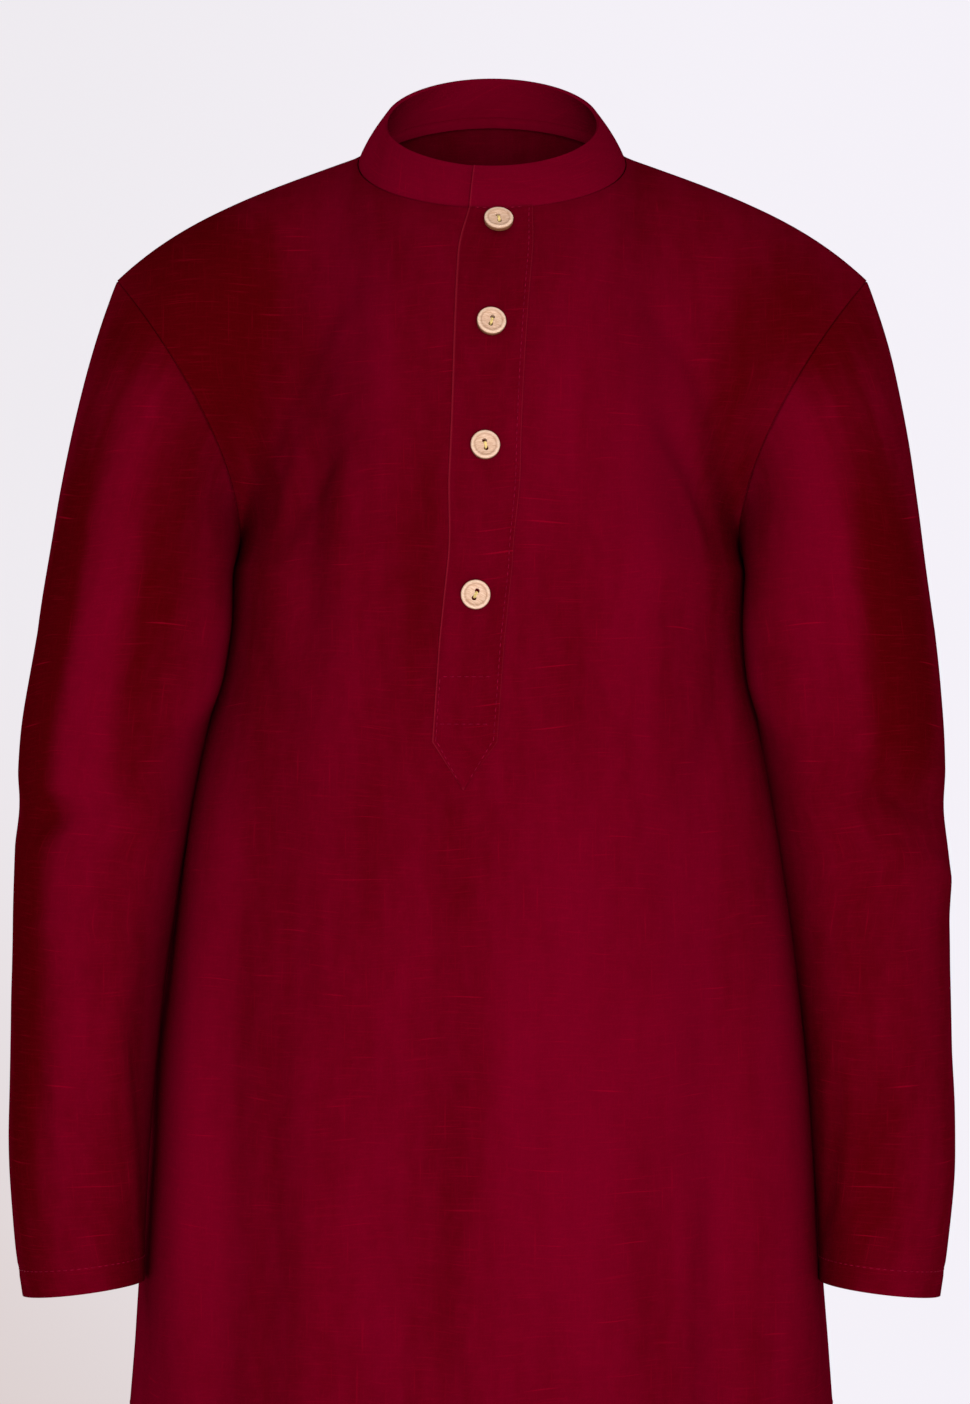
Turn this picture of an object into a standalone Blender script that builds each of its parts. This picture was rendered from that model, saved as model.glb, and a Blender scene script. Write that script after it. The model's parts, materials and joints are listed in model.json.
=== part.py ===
"""A child's long-sleeved kurta tunic in the hollow shape it takes when worn.

Metres, +Z up. The garment's front faces -Y and +X is the wearer's left side. The origin is the
middle of the neck at the height of the shoulders, where the wearer carries the garment. Heights
are written as drops: how far a point hangs below the origin.
"""
import math

import bmesh
import bpy
import numpy as np
from mathutils import Vector
from mathutils.bvhtree import BVHTree

# Cloth and seams
WALL = 0.0014               # body and sleeves
COLLAR_WALL = 0.0020        # two layers of cloth
PLACKET_WALL = 0.0012
SEAM_GAP = 0.0003
ARMHOLE_GAP = 0.0009        # wider than a seam, because the walls lean together at the shoulder tip

# Neck and shoulders
NECK_HALF_WIDTH = 0.0605
NECK_FRONT = 0.0600         # from the origin forwards to the neckline, and back to it
NECK_BACK = 0.0550
NECK_SIDE_DROP = 0.0040
NECK_FRONT_FALL = 0.0254    # the neckline sinks towards the front and climbs towards the back
NECK_BACK_RISE = 0.0260
SHOULDER_ANGLE = math.radians(100)   # where the shoulder seam meets the neckline, from the front
SHOULDER_TIP = (0.1690, 0.0, -0.0560)
SHOULDER_SLOPE = 0.38       # at the neck; the shoulder line is nearly straight and rounds down at its tip
SHOULDER_CURVE = 115.0
SHOULDER_CURVE_POWER = 4

# Body
CHEST_DROP = 0.187          # the armpit
HEM_DROP = 0.760
SIDE_ROUNDNESS = 2.35       # 2 is an ellipse, more is squarer
LEAN = -0.0048              # the skirt and sleeves hang slightly to the wearer's right
LEAN_START, LEAN_END = 0.13, 0.30
SLIT_DROP = 0.560
SLIT_OPEN = 0.007           # how far each panel's edge draws back at the hem

# The body's section at each height. side_y is how far back its side seams lie: the arms hang in front
# of them and press the cloth in, so it bulges behind the sleeves.
# drop, half_width, front, back, side_y
BODY_ROWS = [
    (0.187, 0.1163, 0.106, 0.096, 0.020),
    (0.223, 0.1190, 0.108, 0.095, 0.028),
    (0.260, 0.1258, 0.109, 0.094, 0.029),
    (0.304, 0.1331, 0.109, 0.094, 0.029),
    (0.350, 0.1404, 0.110, 0.096, 0.027),
    (0.400, 0.1470, 0.111, 0.100, 0.025),
    (0.461, 0.1522, 0.113, 0.105, 0.023),
    (0.505, 0.1545, 0.115, 0.108, 0.021),
    (0.560, 0.1585, 0.118, 0.112, 0.016),
    (0.760, 0.1760, 0.129, 0.124, 0.006),
]

# How each column of cloth leaves the top edge and reaches the chest, as pulls along Y and Z.
# place is 0 at the middle of the panel and 1 at the shoulder tip, where the column is the armhole's edge.
# place, leave_y, leave_z, arrive_y, arrive_z
FRONT_FLOW = [
    (0.00, -0.085, -0.130, -0.004, -0.170),
    (0.57, -0.125, -0.045, 0.000, -0.190),
    (0.80, -0.155, -0.030, 0.030, -0.170),
    (1.00, -0.195, -0.100, 0.175, -0.100),
]
BACK_FLOW = [
    (0.00, 0.075, -0.100, 0.004, -0.200),
    (0.57, 0.120, -0.030, 0.000, -0.200),
    (0.80, 0.150, -0.030, -0.030, -0.180),
    (1.00, 0.200, -0.100, -0.180, -0.100),
]
# How far in each armhole is scooped: its pulls along X at the shoulder tip and at the armpit
ARMHOLE_SCOOP = {"front": (-0.090, 0.050), "back": (-0.060, 0.030)}

# Soft folds of the body: across and lean are metres from the middle, height is outwards.
# side, across, lean, top, bottom, half_width, height
BODY_FOLDS = [
    ("front", -0.052, 0.006, 0.040, 0.170, 0.026, 0.0026),
    ("front", -0.096, 0.010, 0.070, 0.260, 0.026, -0.0034),
    ("front", 0.070, -0.010, 0.060, 0.240, 0.034, 0.0020),
    ("front", -0.026, 0.000, 0.270, 0.820, 0.022, -0.0045),
    ("front", -0.074, -0.012, 0.300, 0.900, 0.026, 0.0050),
    ("front", -0.122, -0.010, 0.260, 0.900, 0.022, -0.0040),
    ("front", 0.048, 0.006, 0.360, 0.900, 0.028, 0.0042),
    ("front", 0.098, 0.014, 0.300, 0.900, 0.024, -0.0042),
    ("back", 0.040, 0.010, 0.090, 0.330, 0.030, -0.0030),
    ("back", -0.046, -0.008, 0.200, 0.900, 0.028, -0.0046),
    ("back", 0.006, 0.000, 0.300, 0.900, 0.030, 0.0048),
    ("back", 0.064, 0.010, 0.330, 0.900, 0.026, -0.0046),
    ("back", 0.112, 0.010, 0.280, 0.900, 0.024, 0.0040),
    ("back", -0.104, -0.010, 0.260, 0.900, 0.026, 0.0042),
]

FOLD_FADE = 0.030           # the folds die out this close to a seam

# Sleeves: inner and outer are measured from the middle of the body, depth is half of front to back
# drop, inner, outer, depth, centre_y
SLEEVE_ROWS = [
    (0.215, 0.1165, 0.2008, 0.0500, -0.010),
    (0.259, 0.1236, 0.2061, 0.0490, -0.015),
    (0.300, 0.1300, 0.2076, 0.0470, -0.018),
    (0.350, 0.1376, 0.2089, 0.0440, -0.022),
    (0.400, 0.1438, 0.2093, 0.0410, -0.027),
    (0.450, 0.1474, 0.2098, 0.0375, -0.032),
    (0.484, 0.1490, 0.2067, 0.0340, -0.035),
    (0.5055, 0.1494, 0.2033, 0.0315, -0.037),
]
CUFF_TILT = 0.0032          # half of how much lower the cuff's outer side hangs than its inner side
CUFF_TILT_LENGTH = 0.050
# The sleeve head's pulls as it leaves the armhole and reaches the first ring. Each starts with its value
# at the front and back, then what the cosine of the angle adds: most at the shoulder, least at the armpit.
HEAD_LEAVE_X = (0.025, 0.015, 0.030)    # the third value swells the front and back
HEAD_LEAVE_Y = -0.030
HEAD_LEAVE_Z = (-0.066, -0.054)
HEAD_ARRIVE_X = 0.010
HEAD_ARRIVE_Z = (-0.095, -0.065)

# Folds of the sleeves: around is degrees from the outer side through the front, slant is metres a degree
# sleeve, drop, around, half_height, half_angle, height, slant
SLEEVE_FOLDS = [
    ("left", 0.286, 70, 0.018, 95, -0.0045, -0.00012),
    ("left", 0.322, 40, 0.020, 80, 0.0020, -0.00010),
    ("left", 0.410, 110, 0.060, 42, -0.0032, 0.0),
    ("left", 0.250, 250, 0.022, 80, -0.0032, 0.00010),
    ("right", 0.300, 60, 0.018, 90, -0.0042, 0.00012),
    ("right", 0.262, 120, 0.020, 60, -0.0028, 0.00010),
    ("right", 0.390, 150, 0.080, 40, -0.0032, 0.0),
    ("right", 0.262, 250, 0.022, 80, -0.0034, -0.00010),
]

# Stand collar: its top edge, leaning in towards the neck
COLLAR_TOP_HALF_WIDTH = 0.0485
COLLAR_TOP_FRONT = 0.0500
COLLAR_TOP_BACK = 0.0500
COLLAR_TOP_SIDE_RISE = 0.0150
COLLAR_TOP_FRONT_FALL = 0.0250
COLLAR_TOP_BACK_RISE = 0.0250
COLLAR_BULGE = 0.0010
COLLAR_LAP_GAP = 0.0006

# Placket: drop and place of its middle line, which slants towards the wearer's right
PLACKET_LINE = [(0.029, 0.0039), (0.116, -0.0008), (0.185, -0.0051), (0.220, -0.0088), (0.2633, -0.0119),
                (0.2839, -0.0125), (0.760, -0.0125)]
PLACKET_WIDTH = 0.028
PLACKET_END_DROP = 0.2633
PLACKET_TIP_DROP = 0.2839

# Buttons: drop and place across
BUTTON_PLACES = [(0.0366, 0.0027), (0.0821, -0.0006), (0.1359, -0.0032), (0.2002, -0.0073)]
BUTTON_RADIUS = 0.00635
BUTTON_THICKNESS = 0.0030
BUTTON_HOLE_RADIUS = 0.0008
BUTTON_HOLE_SPACING = 0.0032
BUTTON_DISH = 0.0007
BUTTON_EDGE = 0.0005

# Columns and rows of the panels' grids
SHOULDER_COLUMNS = 6
FRONT_NECK_COLUMNS = 6      # each side, from the placket to the shoulder
PLACKET_COLUMNS = 4
BACK_NECK_COLUMNS = 10
YOKE_ROWS = 10
PLACKET_ROWS = 3
SKIRT_ROWS = 14
SLEEVE_HEAD_ROWS = 7
SLEEVE_ROWS_BELOW = 17
COLLAR_ROWS = 3

# colour, roughness, metallic
CLOTH = ((0.155, 0.0006, 0.0090, 1.0), 0.85, 0.0)
WOOD = ((0.62, 0.42, 0.22, 1.0), 0.55, 0.0)


def smooth_step(value):
    """0 below 0, 1 above 1, and an even curve between."""
    value = np.clip(value, 0.0, 1.0)
    return value * value * (3.0 - 2.0 * value)


def bump(offset):
    """A rounded hump, 1 in its middle and 0 at -1 and +1."""
    return math.cos(offset * math.pi / 2) ** 2


def curve_at(rows, place, column):
    """One column of a table, read between its rows along a smooth curve."""
    places = [row[0] for row in rows]
    last = len(rows) - 2
    index = min(max(int(np.searchsorted(places, place)) - 1, 0), last)
    start, end = rows[index], rows[index + 1]
    span = end[0] - start[0]
    before, after = rows[max(index - 1, 0)], rows[min(index + 2, last + 1)]
    slope_in = (end[column] - before[column]) / (end[0] - before[0]) * span
    slope_out = (after[column] - start[column]) / (after[0] - start[0]) * span
    along = min(max((place - start[0]) / span, 0.0), 1.0)
    return float(hermite(start[column], slope_in, end[column], slope_out, along))


def hermite(start, leave, end, arrive, along):
    """A point along the curve that leaves start and reaches end in the given directions."""
    square, cube = along ** 2, along ** 3
    return ((2 * cube - 3 * square + 1) * start + (cube - 2 * square + along) * leave
            + (3 * square - 2 * cube) * end + (cube - square) * arrive)


def lean_at(drop):
    """How far the garment hangs aside at this height."""
    return LEAN * float(smooth_step((drop - LEAN_START) / (LEAN_END - LEAN_START)))


def neckline(angle):
    """A point of the neckline; the angle runs from the front (0) round the wearer's left side."""
    cosine = math.cos(angle)
    depth = NECK_FRONT if cosine > 0 else NECK_BACK
    climb = NECK_FRONT_FALL if cosine > 0 else NECK_BACK_RISE
    return np.array([NECK_HALF_WIDTH * math.sin(angle), -depth * cosine, -NECK_SIDE_DROP - climb * cosine])


def collar_top(angle):
    """A point of the collar's top edge, at the same angle as the neckline below it."""
    cosine = math.cos(angle)
    depth = COLLAR_TOP_FRONT if cosine > 0 else COLLAR_TOP_BACK
    climb = COLLAR_TOP_FRONT_FALL if cosine > 0 else COLLAR_TOP_BACK_RISE
    height = COLLAR_TOP_SIDE_RISE - climb * cosine
    return np.array([COLLAR_TOP_HALF_WIDTH * math.sin(angle), -depth * cosine, height])


def shoulder_fall(reach):
    """How far a shoulder of this length slopes down."""
    return SHOULDER_SLOPE * reach + SHOULDER_CURVE * reach ** SHOULDER_CURVE_POWER


def shoulder_line(along, side):
    """A point of the shoulder seam: along is 0 at the tip and 1 at the neck, side is +1 or -1."""
    neck = neckline(SHOULDER_ANGLE)
    full = SHOULDER_TIP[0] - neck[0]
    reach = full * (1.0 - along)
    share = shoulder_fall(reach) / shoulder_fall(full)
    level = neck[2] - share * (neck[2] - SHOULDER_TIP[2])
    return np.array([side * (neck[0] + reach), neck[1] * along, level])


def section_arc(drop, face):
    """A quarter of the body's section, from its middle to its side, and the length along it."""
    half_width, side_y = curve_at(BODY_ROWS, drop, 1), curve_at(BODY_ROWS, drop, 4)
    depth = curve_at(BODY_ROWS, drop, 2) + side_y if face == "front" else curve_at(BODY_ROWS, drop, 3) - side_y
    turn = np.linspace(0.0, math.pi / 2, 91)
    across = half_width * np.sin(turn) ** (2 / SIDE_ROUNDNESS)
    forward = depth * np.clip(np.cos(turn), 0, 1) ** (2 / SIDE_ROUNDNESS)
    lengths = np.concatenate([[0.0], np.cumsum(np.hypot(np.diff(across), np.diff(forward)))])
    return across, forward, lengths


def section_points(drop, face, fractions):
    """Points of the body's section; a fraction is 0 at the middle and +1 or -1 at the side seams."""
    across, forward, lengths = section_arc(drop, face)
    reach = np.abs(fractions) * lengths[-1]
    x = np.sign(fractions) * np.interp(reach, lengths, across) + lean_at(drop)
    y = curve_at(BODY_ROWS, drop, 4) + np.interp(reach, lengths, forward) * (-1 if face == "front" else 1)
    return np.stack([x, y, np.full(len(fractions), -drop)], axis=1)


def placket_middle(drop):
    """The placket's middle line at this height."""
    return float(np.interp(drop, [row[0] for row in PLACKET_LINE], [row[1] for row in PLACKET_LINE]))


def column_fractions(drop, face):
    """Where the panel's columns cross its section, from one side seam to the other."""
    length = section_arc(drop, face)[2][-1]
    opening = SLIT_OPEN * float(smooth_step((drop - SLIT_DROP) / (HEM_DROP - SLIT_DROP)))
    edge = 1.0 - (SEAM_GAP / 2 + opening) / length
    if face == "back":
        return np.linspace(-edge, edge, 2 * SHOULDER_COLUMNS + BACK_NECK_COLUMNS + 1)
    middle = (placket_middle(drop) - lean_at(drop)) / length
    half = PLACKET_WIDTH / 2 / length
    outside = SHOULDER_COLUMNS + FRONT_NECK_COLUMNS
    return np.concatenate([
        np.linspace(-edge, middle - half, outside + 1)[:-1],
        np.linspace(middle - half, middle + half, PLACKET_COLUMNS + 1),
        np.linspace(middle + half, edge, outside + 1)[1:],
    ])


def neck_angles(face):
    """The angles at which the panel's columns meet the neckline, from its -X end to its +X end."""
    if face == "back":
        return np.linspace(-SHOULDER_ANGLE, SHOULDER_ANGLE - 2 * math.pi, BACK_NECK_COLUMNS + 1)
    start = placket_middle(-neckline(0.0)[2])
    edges = np.linspace(start - PLACKET_WIDTH / 2, start + PLACKET_WIDTH / 2, PLACKET_COLUMNS + 1)
    placket = np.arcsin(edges / NECK_HALF_WIDTH)
    return np.concatenate([
        np.linspace(-SHOULDER_ANGLE, placket[0], FRONT_NECK_COLUMNS + 1)[:-1],
        placket,
        np.linspace(placket[-1], SHOULDER_ANGLE, FRONT_NECK_COLUMNS + 1)[1:],
    ])


def top_edge(face):
    """The panel's shoulder, neckline and other shoulder, as one row of points."""
    steps = np.arange(SHOULDER_COLUMNS) / SHOULDER_COLUMNS
    left = [shoulder_line(step, -1) for step in steps]
    right = [shoulder_line(step, 1) for step in steps[::-1]]
    return np.array(left + [neckline(angle) for angle in neck_angles(face)] + right)


def fold_height(folds, across, drop):
    """The height of a panel's folds at a place on it."""
    height = 0.0
    for _, middle, lean, top, bottom, half_width, rise in folds:
        along = (drop - top) / (bottom - top)
        if 0.0 < along < 1.0:
            offset = (across - middle - lean * along) / half_width
            if abs(offset) < 1.0:
                ends = smooth_step(along / 0.3) * smooth_step((1.0 - along) / 0.3)
                height += rise * ends * bump(offset)
    return height


def grid_normals(points, outwards):
    """Each point's normal on a grid of points, turned to the outer side."""
    along = np.gradient(points, axis=0)
    across = np.gradient(points, axis=1)
    normals = np.cross(across, along)
    normals /= np.maximum(np.linalg.norm(normals, axis=2, keepdims=True), 1e-9)
    return normals * np.sign(np.sum(normals * outwards, axis=2).sum())


def panel_points(face):
    """The front or the back, from the top edge to the hem, as rows of points."""
    flow = FRONT_FLOW if face == "front" else BACK_FLOW
    top = top_edge(face)
    chest = section_points(CHEST_DROP, face, column_fractions(CHEST_DROP, face))
    half_count = (len(top) - 1) / 2
    tip, side = top[-1, 0], chest[-1, 0]
    leave_x, arrive_x = ARMHOLE_SCOOP[face]
    rows = []
    for step in range(YOKE_ROWS):
        along = (step / YOKE_ROWS) ** 1.2
        width = hermite(tip, leave_x, side, arrive_x, along)
        row = []
        for column, (start, end) in enumerate(zip(top, chest)):
            place = abs(column - half_count) / half_count
            leave = np.array([0.0, curve_at(flow, place, 1), curve_at(flow, place, 2)])
            arrive = np.array([0.0, curve_at(flow, place, 3), curve_at(flow, place, 4)])
            point = hermite(start, leave, end, arrive, along)
            point[0] = width * (start[0] / tip * (1.0 - along) + end[0] / side * along)
            row.append(point)
        rows.append(row)
    drops = list(np.linspace(CHEST_DROP, PLACKET_END_DROP, PLACKET_ROWS + 1))
    drops += list(np.linspace(PLACKET_TIP_DROP, HEM_DROP, SKIRT_ROWS + 1))
    rows += [section_points(drop, face, column_fractions(drop, face)) for drop in drops]
    points = np.array([np.array(row) for row in rows])
    points = draw_back_edges(points)
    return add_folds(points, face)


def draw_back_edges(points):
    """Leave the seam gaps at the neckline and at the shoulder ridge, where the two walls lean together."""
    down = points[1] - points[0]
    down /= np.linalg.norm(down, axis=1, keepdims=True)
    ridge = SEAM_GAP / 2 - WALL * down[:, 2] / np.abs(down[:, 1])
    ridge[SHOULDER_COLUMNS + 1:-SHOULDER_COLUMNS - 1] = SEAM_GAP
    points[0] += down * ridge[:, None]
    return points


def add_folds(points, face):
    """Raise the panel's folds along its normals; they fade out at its seams."""
    folds = [fold for fold in BODY_FOLDS if fold[0] == face]
    outwards = points * np.array([1.0, 1.0, 0.0])
    normals = grid_normals(points, outwards)
    steps = np.linalg.norm(np.diff(points, axis=1), axis=2)
    lengths = np.concatenate([np.zeros((len(points), 1)), np.cumsum(steps, axis=1)], axis=1)
    edge_distance = np.minimum(lengths, lengths[:, -1:] - lengths)
    for row in range(1, points.shape[0]):
        middle = np.interp(0.0, points[row, :, 0], lengths[row])
        for column in range(points.shape[1]):
            drop = -points[row, column, 2]
            height = fold_height(folds, lengths[row, column] - middle, drop)
            height *= smooth_step(edge_distance[row, column] / FOLD_FADE)
            points[row, column] += normals[row, column] * height
    return points


def armhole_loop(side, front, back):
    """The armhole's points from the shoulder tip down the front and up the back."""
    column = -1 if side > 0 else 0
    down = front[:YOKE_ROWS + 1, column].copy()
    up = back[:YOKE_ROWS + 1, column].copy()
    tip = np.array([side * SHOULDER_TIP[0], 0.0, SHOULDER_TIP[2]])
    armpit = (down[-1] + up[-1]) / 2
    return np.array([tip] + list(down[1:-1]) + [armpit] + list(up[1:-1][::-1]))


def sleeve_ring(side, drop, count):
    """A ring of the sleeve below the armpit, with its folds."""
    inner, outer, depth, centre_y = (curve_at(SLEEVE_ROWS, drop, k) for k in range(1, 5))
    centre_x, half_width = (inner + outer) / 2, (outer - inner) / 2
    name = "left" if side > 0 else "right"
    last_drop = SLEEVE_ROWS[-1][0]
    cuff = smooth_step((drop - last_drop) / CUFF_TILT_LENGTH + 1.0) * CUFF_TILT
    ring = []
    for step in range(count):
        angle = 2 * math.pi * step / count
        swell = sleeve_fold(name, drop, math.degrees(angle))
        x = centre_x + (half_width + swell) * math.cos(angle)
        y = centre_y - (depth + swell) * math.sin(angle)
        ring.append([side * x + lean_at(drop), y, -drop - cuff * math.cos(angle)])
    return np.array(ring)


def sleeve_fold(name, drop, degrees):
    """The height of one sleeve's folds at a place on it."""
    height = 0.0
    for sleeve, middle, around, half_height, half_angle, rise, slant in SLEEVE_FOLDS:
        turn = (degrees - around + 180) % 360 - 180
        offset = (drop - middle - slant * turn) / half_height
        if sleeve == name and abs(offset) < 1 and abs(turn) < half_angle:
            height += rise * bump(offset) * bump(turn / half_angle)
    return height


def sleeve_points(side, loop):
    """One sleeve from its head, set off from the armhole by the seam, down to the cuff."""
    count = len(loop)
    first_drop = SLEEVE_ROWS[0][0]
    bicep = sleeve_ring(side, first_drop, count)
    head = []
    for column in range(count):
        angle = 2 * math.pi * column / count
        cosine, sine = math.cos(angle), math.sin(angle)
        outwards = HEAD_LEAVE_X[0] + HEAD_LEAVE_X[1] * cosine + HEAD_LEAVE_X[2] * sine ** 2
        downwards = HEAD_LEAVE_Z[0] + HEAD_LEAVE_Z[1] * cosine
        leave = np.array([side * outwards, HEAD_LEAVE_Y * sine, downwards])
        arrive_x = HEAD_ARRIVE_X * (1.0 + cosine)
        arrive = np.array([side * arrive_x, 0.0, HEAD_ARRIVE_Z[0] + HEAD_ARRIVE_Z[1] * cosine])
        start = loop[column] + leave / np.linalg.norm(leave) * ARMHOLE_GAP
        steps = [(step / SLEEVE_HEAD_ROWS) ** 1.3 for step in range(SLEEVE_HEAD_ROWS)]
        head.append([hermite(start, leave, bicep[column], arrive, step) for step in steps])
    rows = list(np.array(head).transpose(1, 0, 2))
    drops = np.linspace(first_drop, SLEEVE_ROWS[-1][0], SLEEVE_ROWS_BELOW + 1)
    rows += [sleeve_ring(side, drop, count) for drop in drops]
    return np.array(rows)


def collar_points(front, back):
    """The stand collar from its hidden end, round the neck, to the end that laps over it."""
    front_angles = list(neck_angles("front"))
    middle = len(front_angles) // 2
    over_end = middle - PLACKET_COLUMNS // 2
    angles = front_angles[middle::-1] + list(neck_angles("back"))[1:-1] + front_angles[:over_end - 1:-1]
    rows = []
    for row in range(COLLAR_ROWS + 1):
        up = row / COLLAR_ROWS
        line = []
        for index, angle in enumerate(angles):
            base, top = neckline(angle), collar_top(angle)
            outwards = np.array([math.sin(angle), -math.cos(angle), 0.0])
            rise = (top - base) / np.linalg.norm(top - base)
            bulge = outwards * COLLAR_BULGE * math.sin(math.pi * up)
            point = base + rise * SEAM_GAP + (top - base) * up + bulge
            tuck = 1.0 - float(smooth_step((index - PLACKET_COLUMNS / 2) / 3.0))
            line.append(point - outwards * tuck * (COLLAR_WALL + COLLAR_LAP_GAP))
        rows.append(line)
    return np.array(rows)


def placket_points(front):
    """The placket: the front's own points, moved out, down to the pointed end."""
    normals = grid_normals(front, front * np.array([1.0, 1.0, 0.0]))
    raised = front + normals * (SEAM_GAP + PLACKET_WALL)
    first = SHOULDER_COLUMNS + FRONT_NECK_COLUMNS
    end_row = YOKE_ROWS + PLACKET_ROWS
    strip = raised[:end_row + 2, first:first + PLACKET_COLUMNS + 1].copy()
    strip[0] += (strip[1] - strip[0]) / np.linalg.norm(strip[1] - strip[0], axis=1, keepdims=True) * SEAM_GAP
    strip[-1] = strip[-1, PLACKET_COLUMNS // 2]
    return strip


def make_material(name, look):
    """A plain material with the part's colour, roughness and metallic value."""
    colour, roughness, metallic = look
    material = bpy.data.materials.new(name)
    material.use_nodes = True
    shader = material.node_tree.nodes["Principled BSDF"]
    shader.inputs["Base Color"].default_value = colour
    shader.inputs["Roughness"].default_value = roughness
    shader.inputs["Metallic"].default_value = metallic
    material.diffuse_color = colour
    return material


def add_object(name, mesh, look, collection):
    """A named object with its own material."""
    mesh.materials.append(make_material(name, look))
    piece = bpy.data.objects.new(name, mesh)
    collection.objects.link(piece)
    return piece


def cloth_from_points(name, points, look, wall, collection, tube=False):
    """A sheet of cloth through rows of points, with its wall grown inwards."""
    rows, columns = points.shape[:2]
    sheet = bmesh.new()
    bmesh.ops.create_grid(sheet, x_segments=columns - (0 if tube else 1), y_segments=rows - 1, size=1.0)
    sheet.verts.ensure_lookup_table()
    width = columns + (1 if tube else 0)
    for index, vertex in enumerate(sheet.verts):
        vertex.co = points[index // width, index % width % columns]
    bmesh.ops.remove_doubles(sheet, verts=sheet.verts, dist=1e-6)
    sheet.normal_update()
    middles = points.mean(axis=1)
    if not tube:
        middles = middles * np.array([0.0, 0.0, 1.0])
    facing = 0.0
    for face in sheet.faces:
        centre = np.array(face.calc_center_median())
        nearest = middles[np.argmin(np.abs(middles[:, 2] - centre[2]))]
        facing += float(np.dot(np.array(face.normal), (centre - nearest) * np.array([1.0, 1.0, 0.0])))
    if facing < 0:
        bmesh.ops.reverse_faces(sheet, faces=sheet.faces)
    mesh = bpy.data.meshes.new(name)
    sheet.to_mesh(mesh)
    sheet.free()
    mesh.shade_smooth()
    piece = add_object(name, mesh, look, collection)
    solidify = piece.modifiers.new("wall", "SOLIDIFY")
    solidify.thickness = wall
    solidify.offset = -1.0
    solidify.use_quality_normals = True
    return piece


def button_mesh(name):
    """A turned disc with rounded edges and a shallow dish, and two holes through it."""
    radius, thickness, edge = BUTTON_RADIUS, BUTTON_THICKNESS, BUTTON_EDGE
    floor = thickness - BUTTON_DISH
    profile = [(0.0, floor), (radius * 0.55, floor), (radius * 0.78, thickness), (radius - edge, thickness),
               (radius, thickness - edge), (radius, edge), (radius - edge, 0.0), (0.0, 0.0)]
    outline = bmesh.new()
    points = [outline.verts.new((across, 0.0, height)) for across, height in profile]
    for start, end in zip(points, points[1:]):
        outline.edges.new((start, end))
    bmesh.ops.spin(outline, geom=outline.verts[:] + outline.edges[:], cent=(0, 0, 0), axis=(0, 0, 1),
                   angle=2 * math.pi, steps=20, use_merge=True)
    bmesh.ops.remove_doubles(outline, verts=outline.verts, dist=1e-6)
    bmesh.ops.recalc_face_normals(outline, faces=outline.faces)
    mesh = bpy.data.meshes.new(name)
    outline.to_mesh(mesh)
    outline.free()
    mesh.shade_smooth()
    mesh.set_sharp_from_angle(angle=math.radians(35))
    return mesh


def hole_cutter(collection):
    """The two thread holes as one guide mesh."""
    cutter = bmesh.new()
    for side in (-1, 1):
        hole = bmesh.ops.create_cone(cutter, cap_ends=True, segments=10, radius1=BUTTON_HOLE_RADIUS,
                                     radius2=BUTTON_HOLE_RADIUS, depth=BUTTON_THICKNESS * 3)
        bmesh.ops.translate(cutter, verts=hole["verts"], vec=(0.0, side * BUTTON_HOLE_SPACING / 2, 0.0))
    mesh = bpy.data.meshes.new("button_holes")
    cutter.to_mesh(mesh)
    cutter.free()
    guide = bpy.data.objects.new("button_holes", mesh)
    guide.hide_render = True
    guide.display_type = "WIRE"
    collection.objects.link(guide)
    return guide


def surface_point(surface, across, drop):
    """Where a line from the front meets the surface."""
    return surface.ray_cast(Vector((across, -1.0, -drop)), Vector((0.0, 1.0, 0.0)))[0]


def sew_buttons(placket, collection, cutters):
    """Four buttons, each seated just clear of the placket and square to it."""
    rows = placket.reshape(-1, 3)
    columns = placket.shape[1]
    quads = [(r * columns + c, r * columns + c + 1, (r + 1) * columns + c + 1, (r + 1) * columns + c)
             for r in range(placket.shape[0] - 2) for c in range(columns - 1)]
    surface = BVHTree.FromPolygons([tuple(point) for point in rows], quads)
    for number, (drop, across) in enumerate(BUTTON_PLACES, start=1):
        middle = surface_point(surface, across, drop)
        rim = []
        for degrees in range(0, 360, 30):
            turn = math.radians(degrees)
            aside, below = BUTTON_RADIUS * math.cos(turn), BUTTON_RADIUS * math.sin(turn)
            rim.append(surface_point(surface, across + aside, drop + below))
        normal = (rim[0] - rim[6]).cross(rim[3] - rim[9]).normalized()
        if normal.y > 0:
            normal.negate()
        name = f"button_{number}"
        piece = add_object(name, button_mesh(name), WOOD, collection)
        lift = max((point - middle).dot(normal) for point in rim + [middle])
        piece.location = middle + normal * (lift + 2 * SEAM_GAP)
        piece.rotation_mode = "QUATERNION"
        piece.rotation_quaternion = normal.to_track_quat("Z", "Y")
        guide = hole_cutter(cutters)
        guide.name = f"{name}_holes"
        guide.location = piece.location
        guide.rotation_mode = "QUATERNION"
        guide.rotation_quaternion = piece.rotation_quaternion
        cut = piece.modifiers.new("thread_holes", "BOOLEAN")
        cut.operation = "DIFFERENCE"
        cut.object = guide


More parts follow.
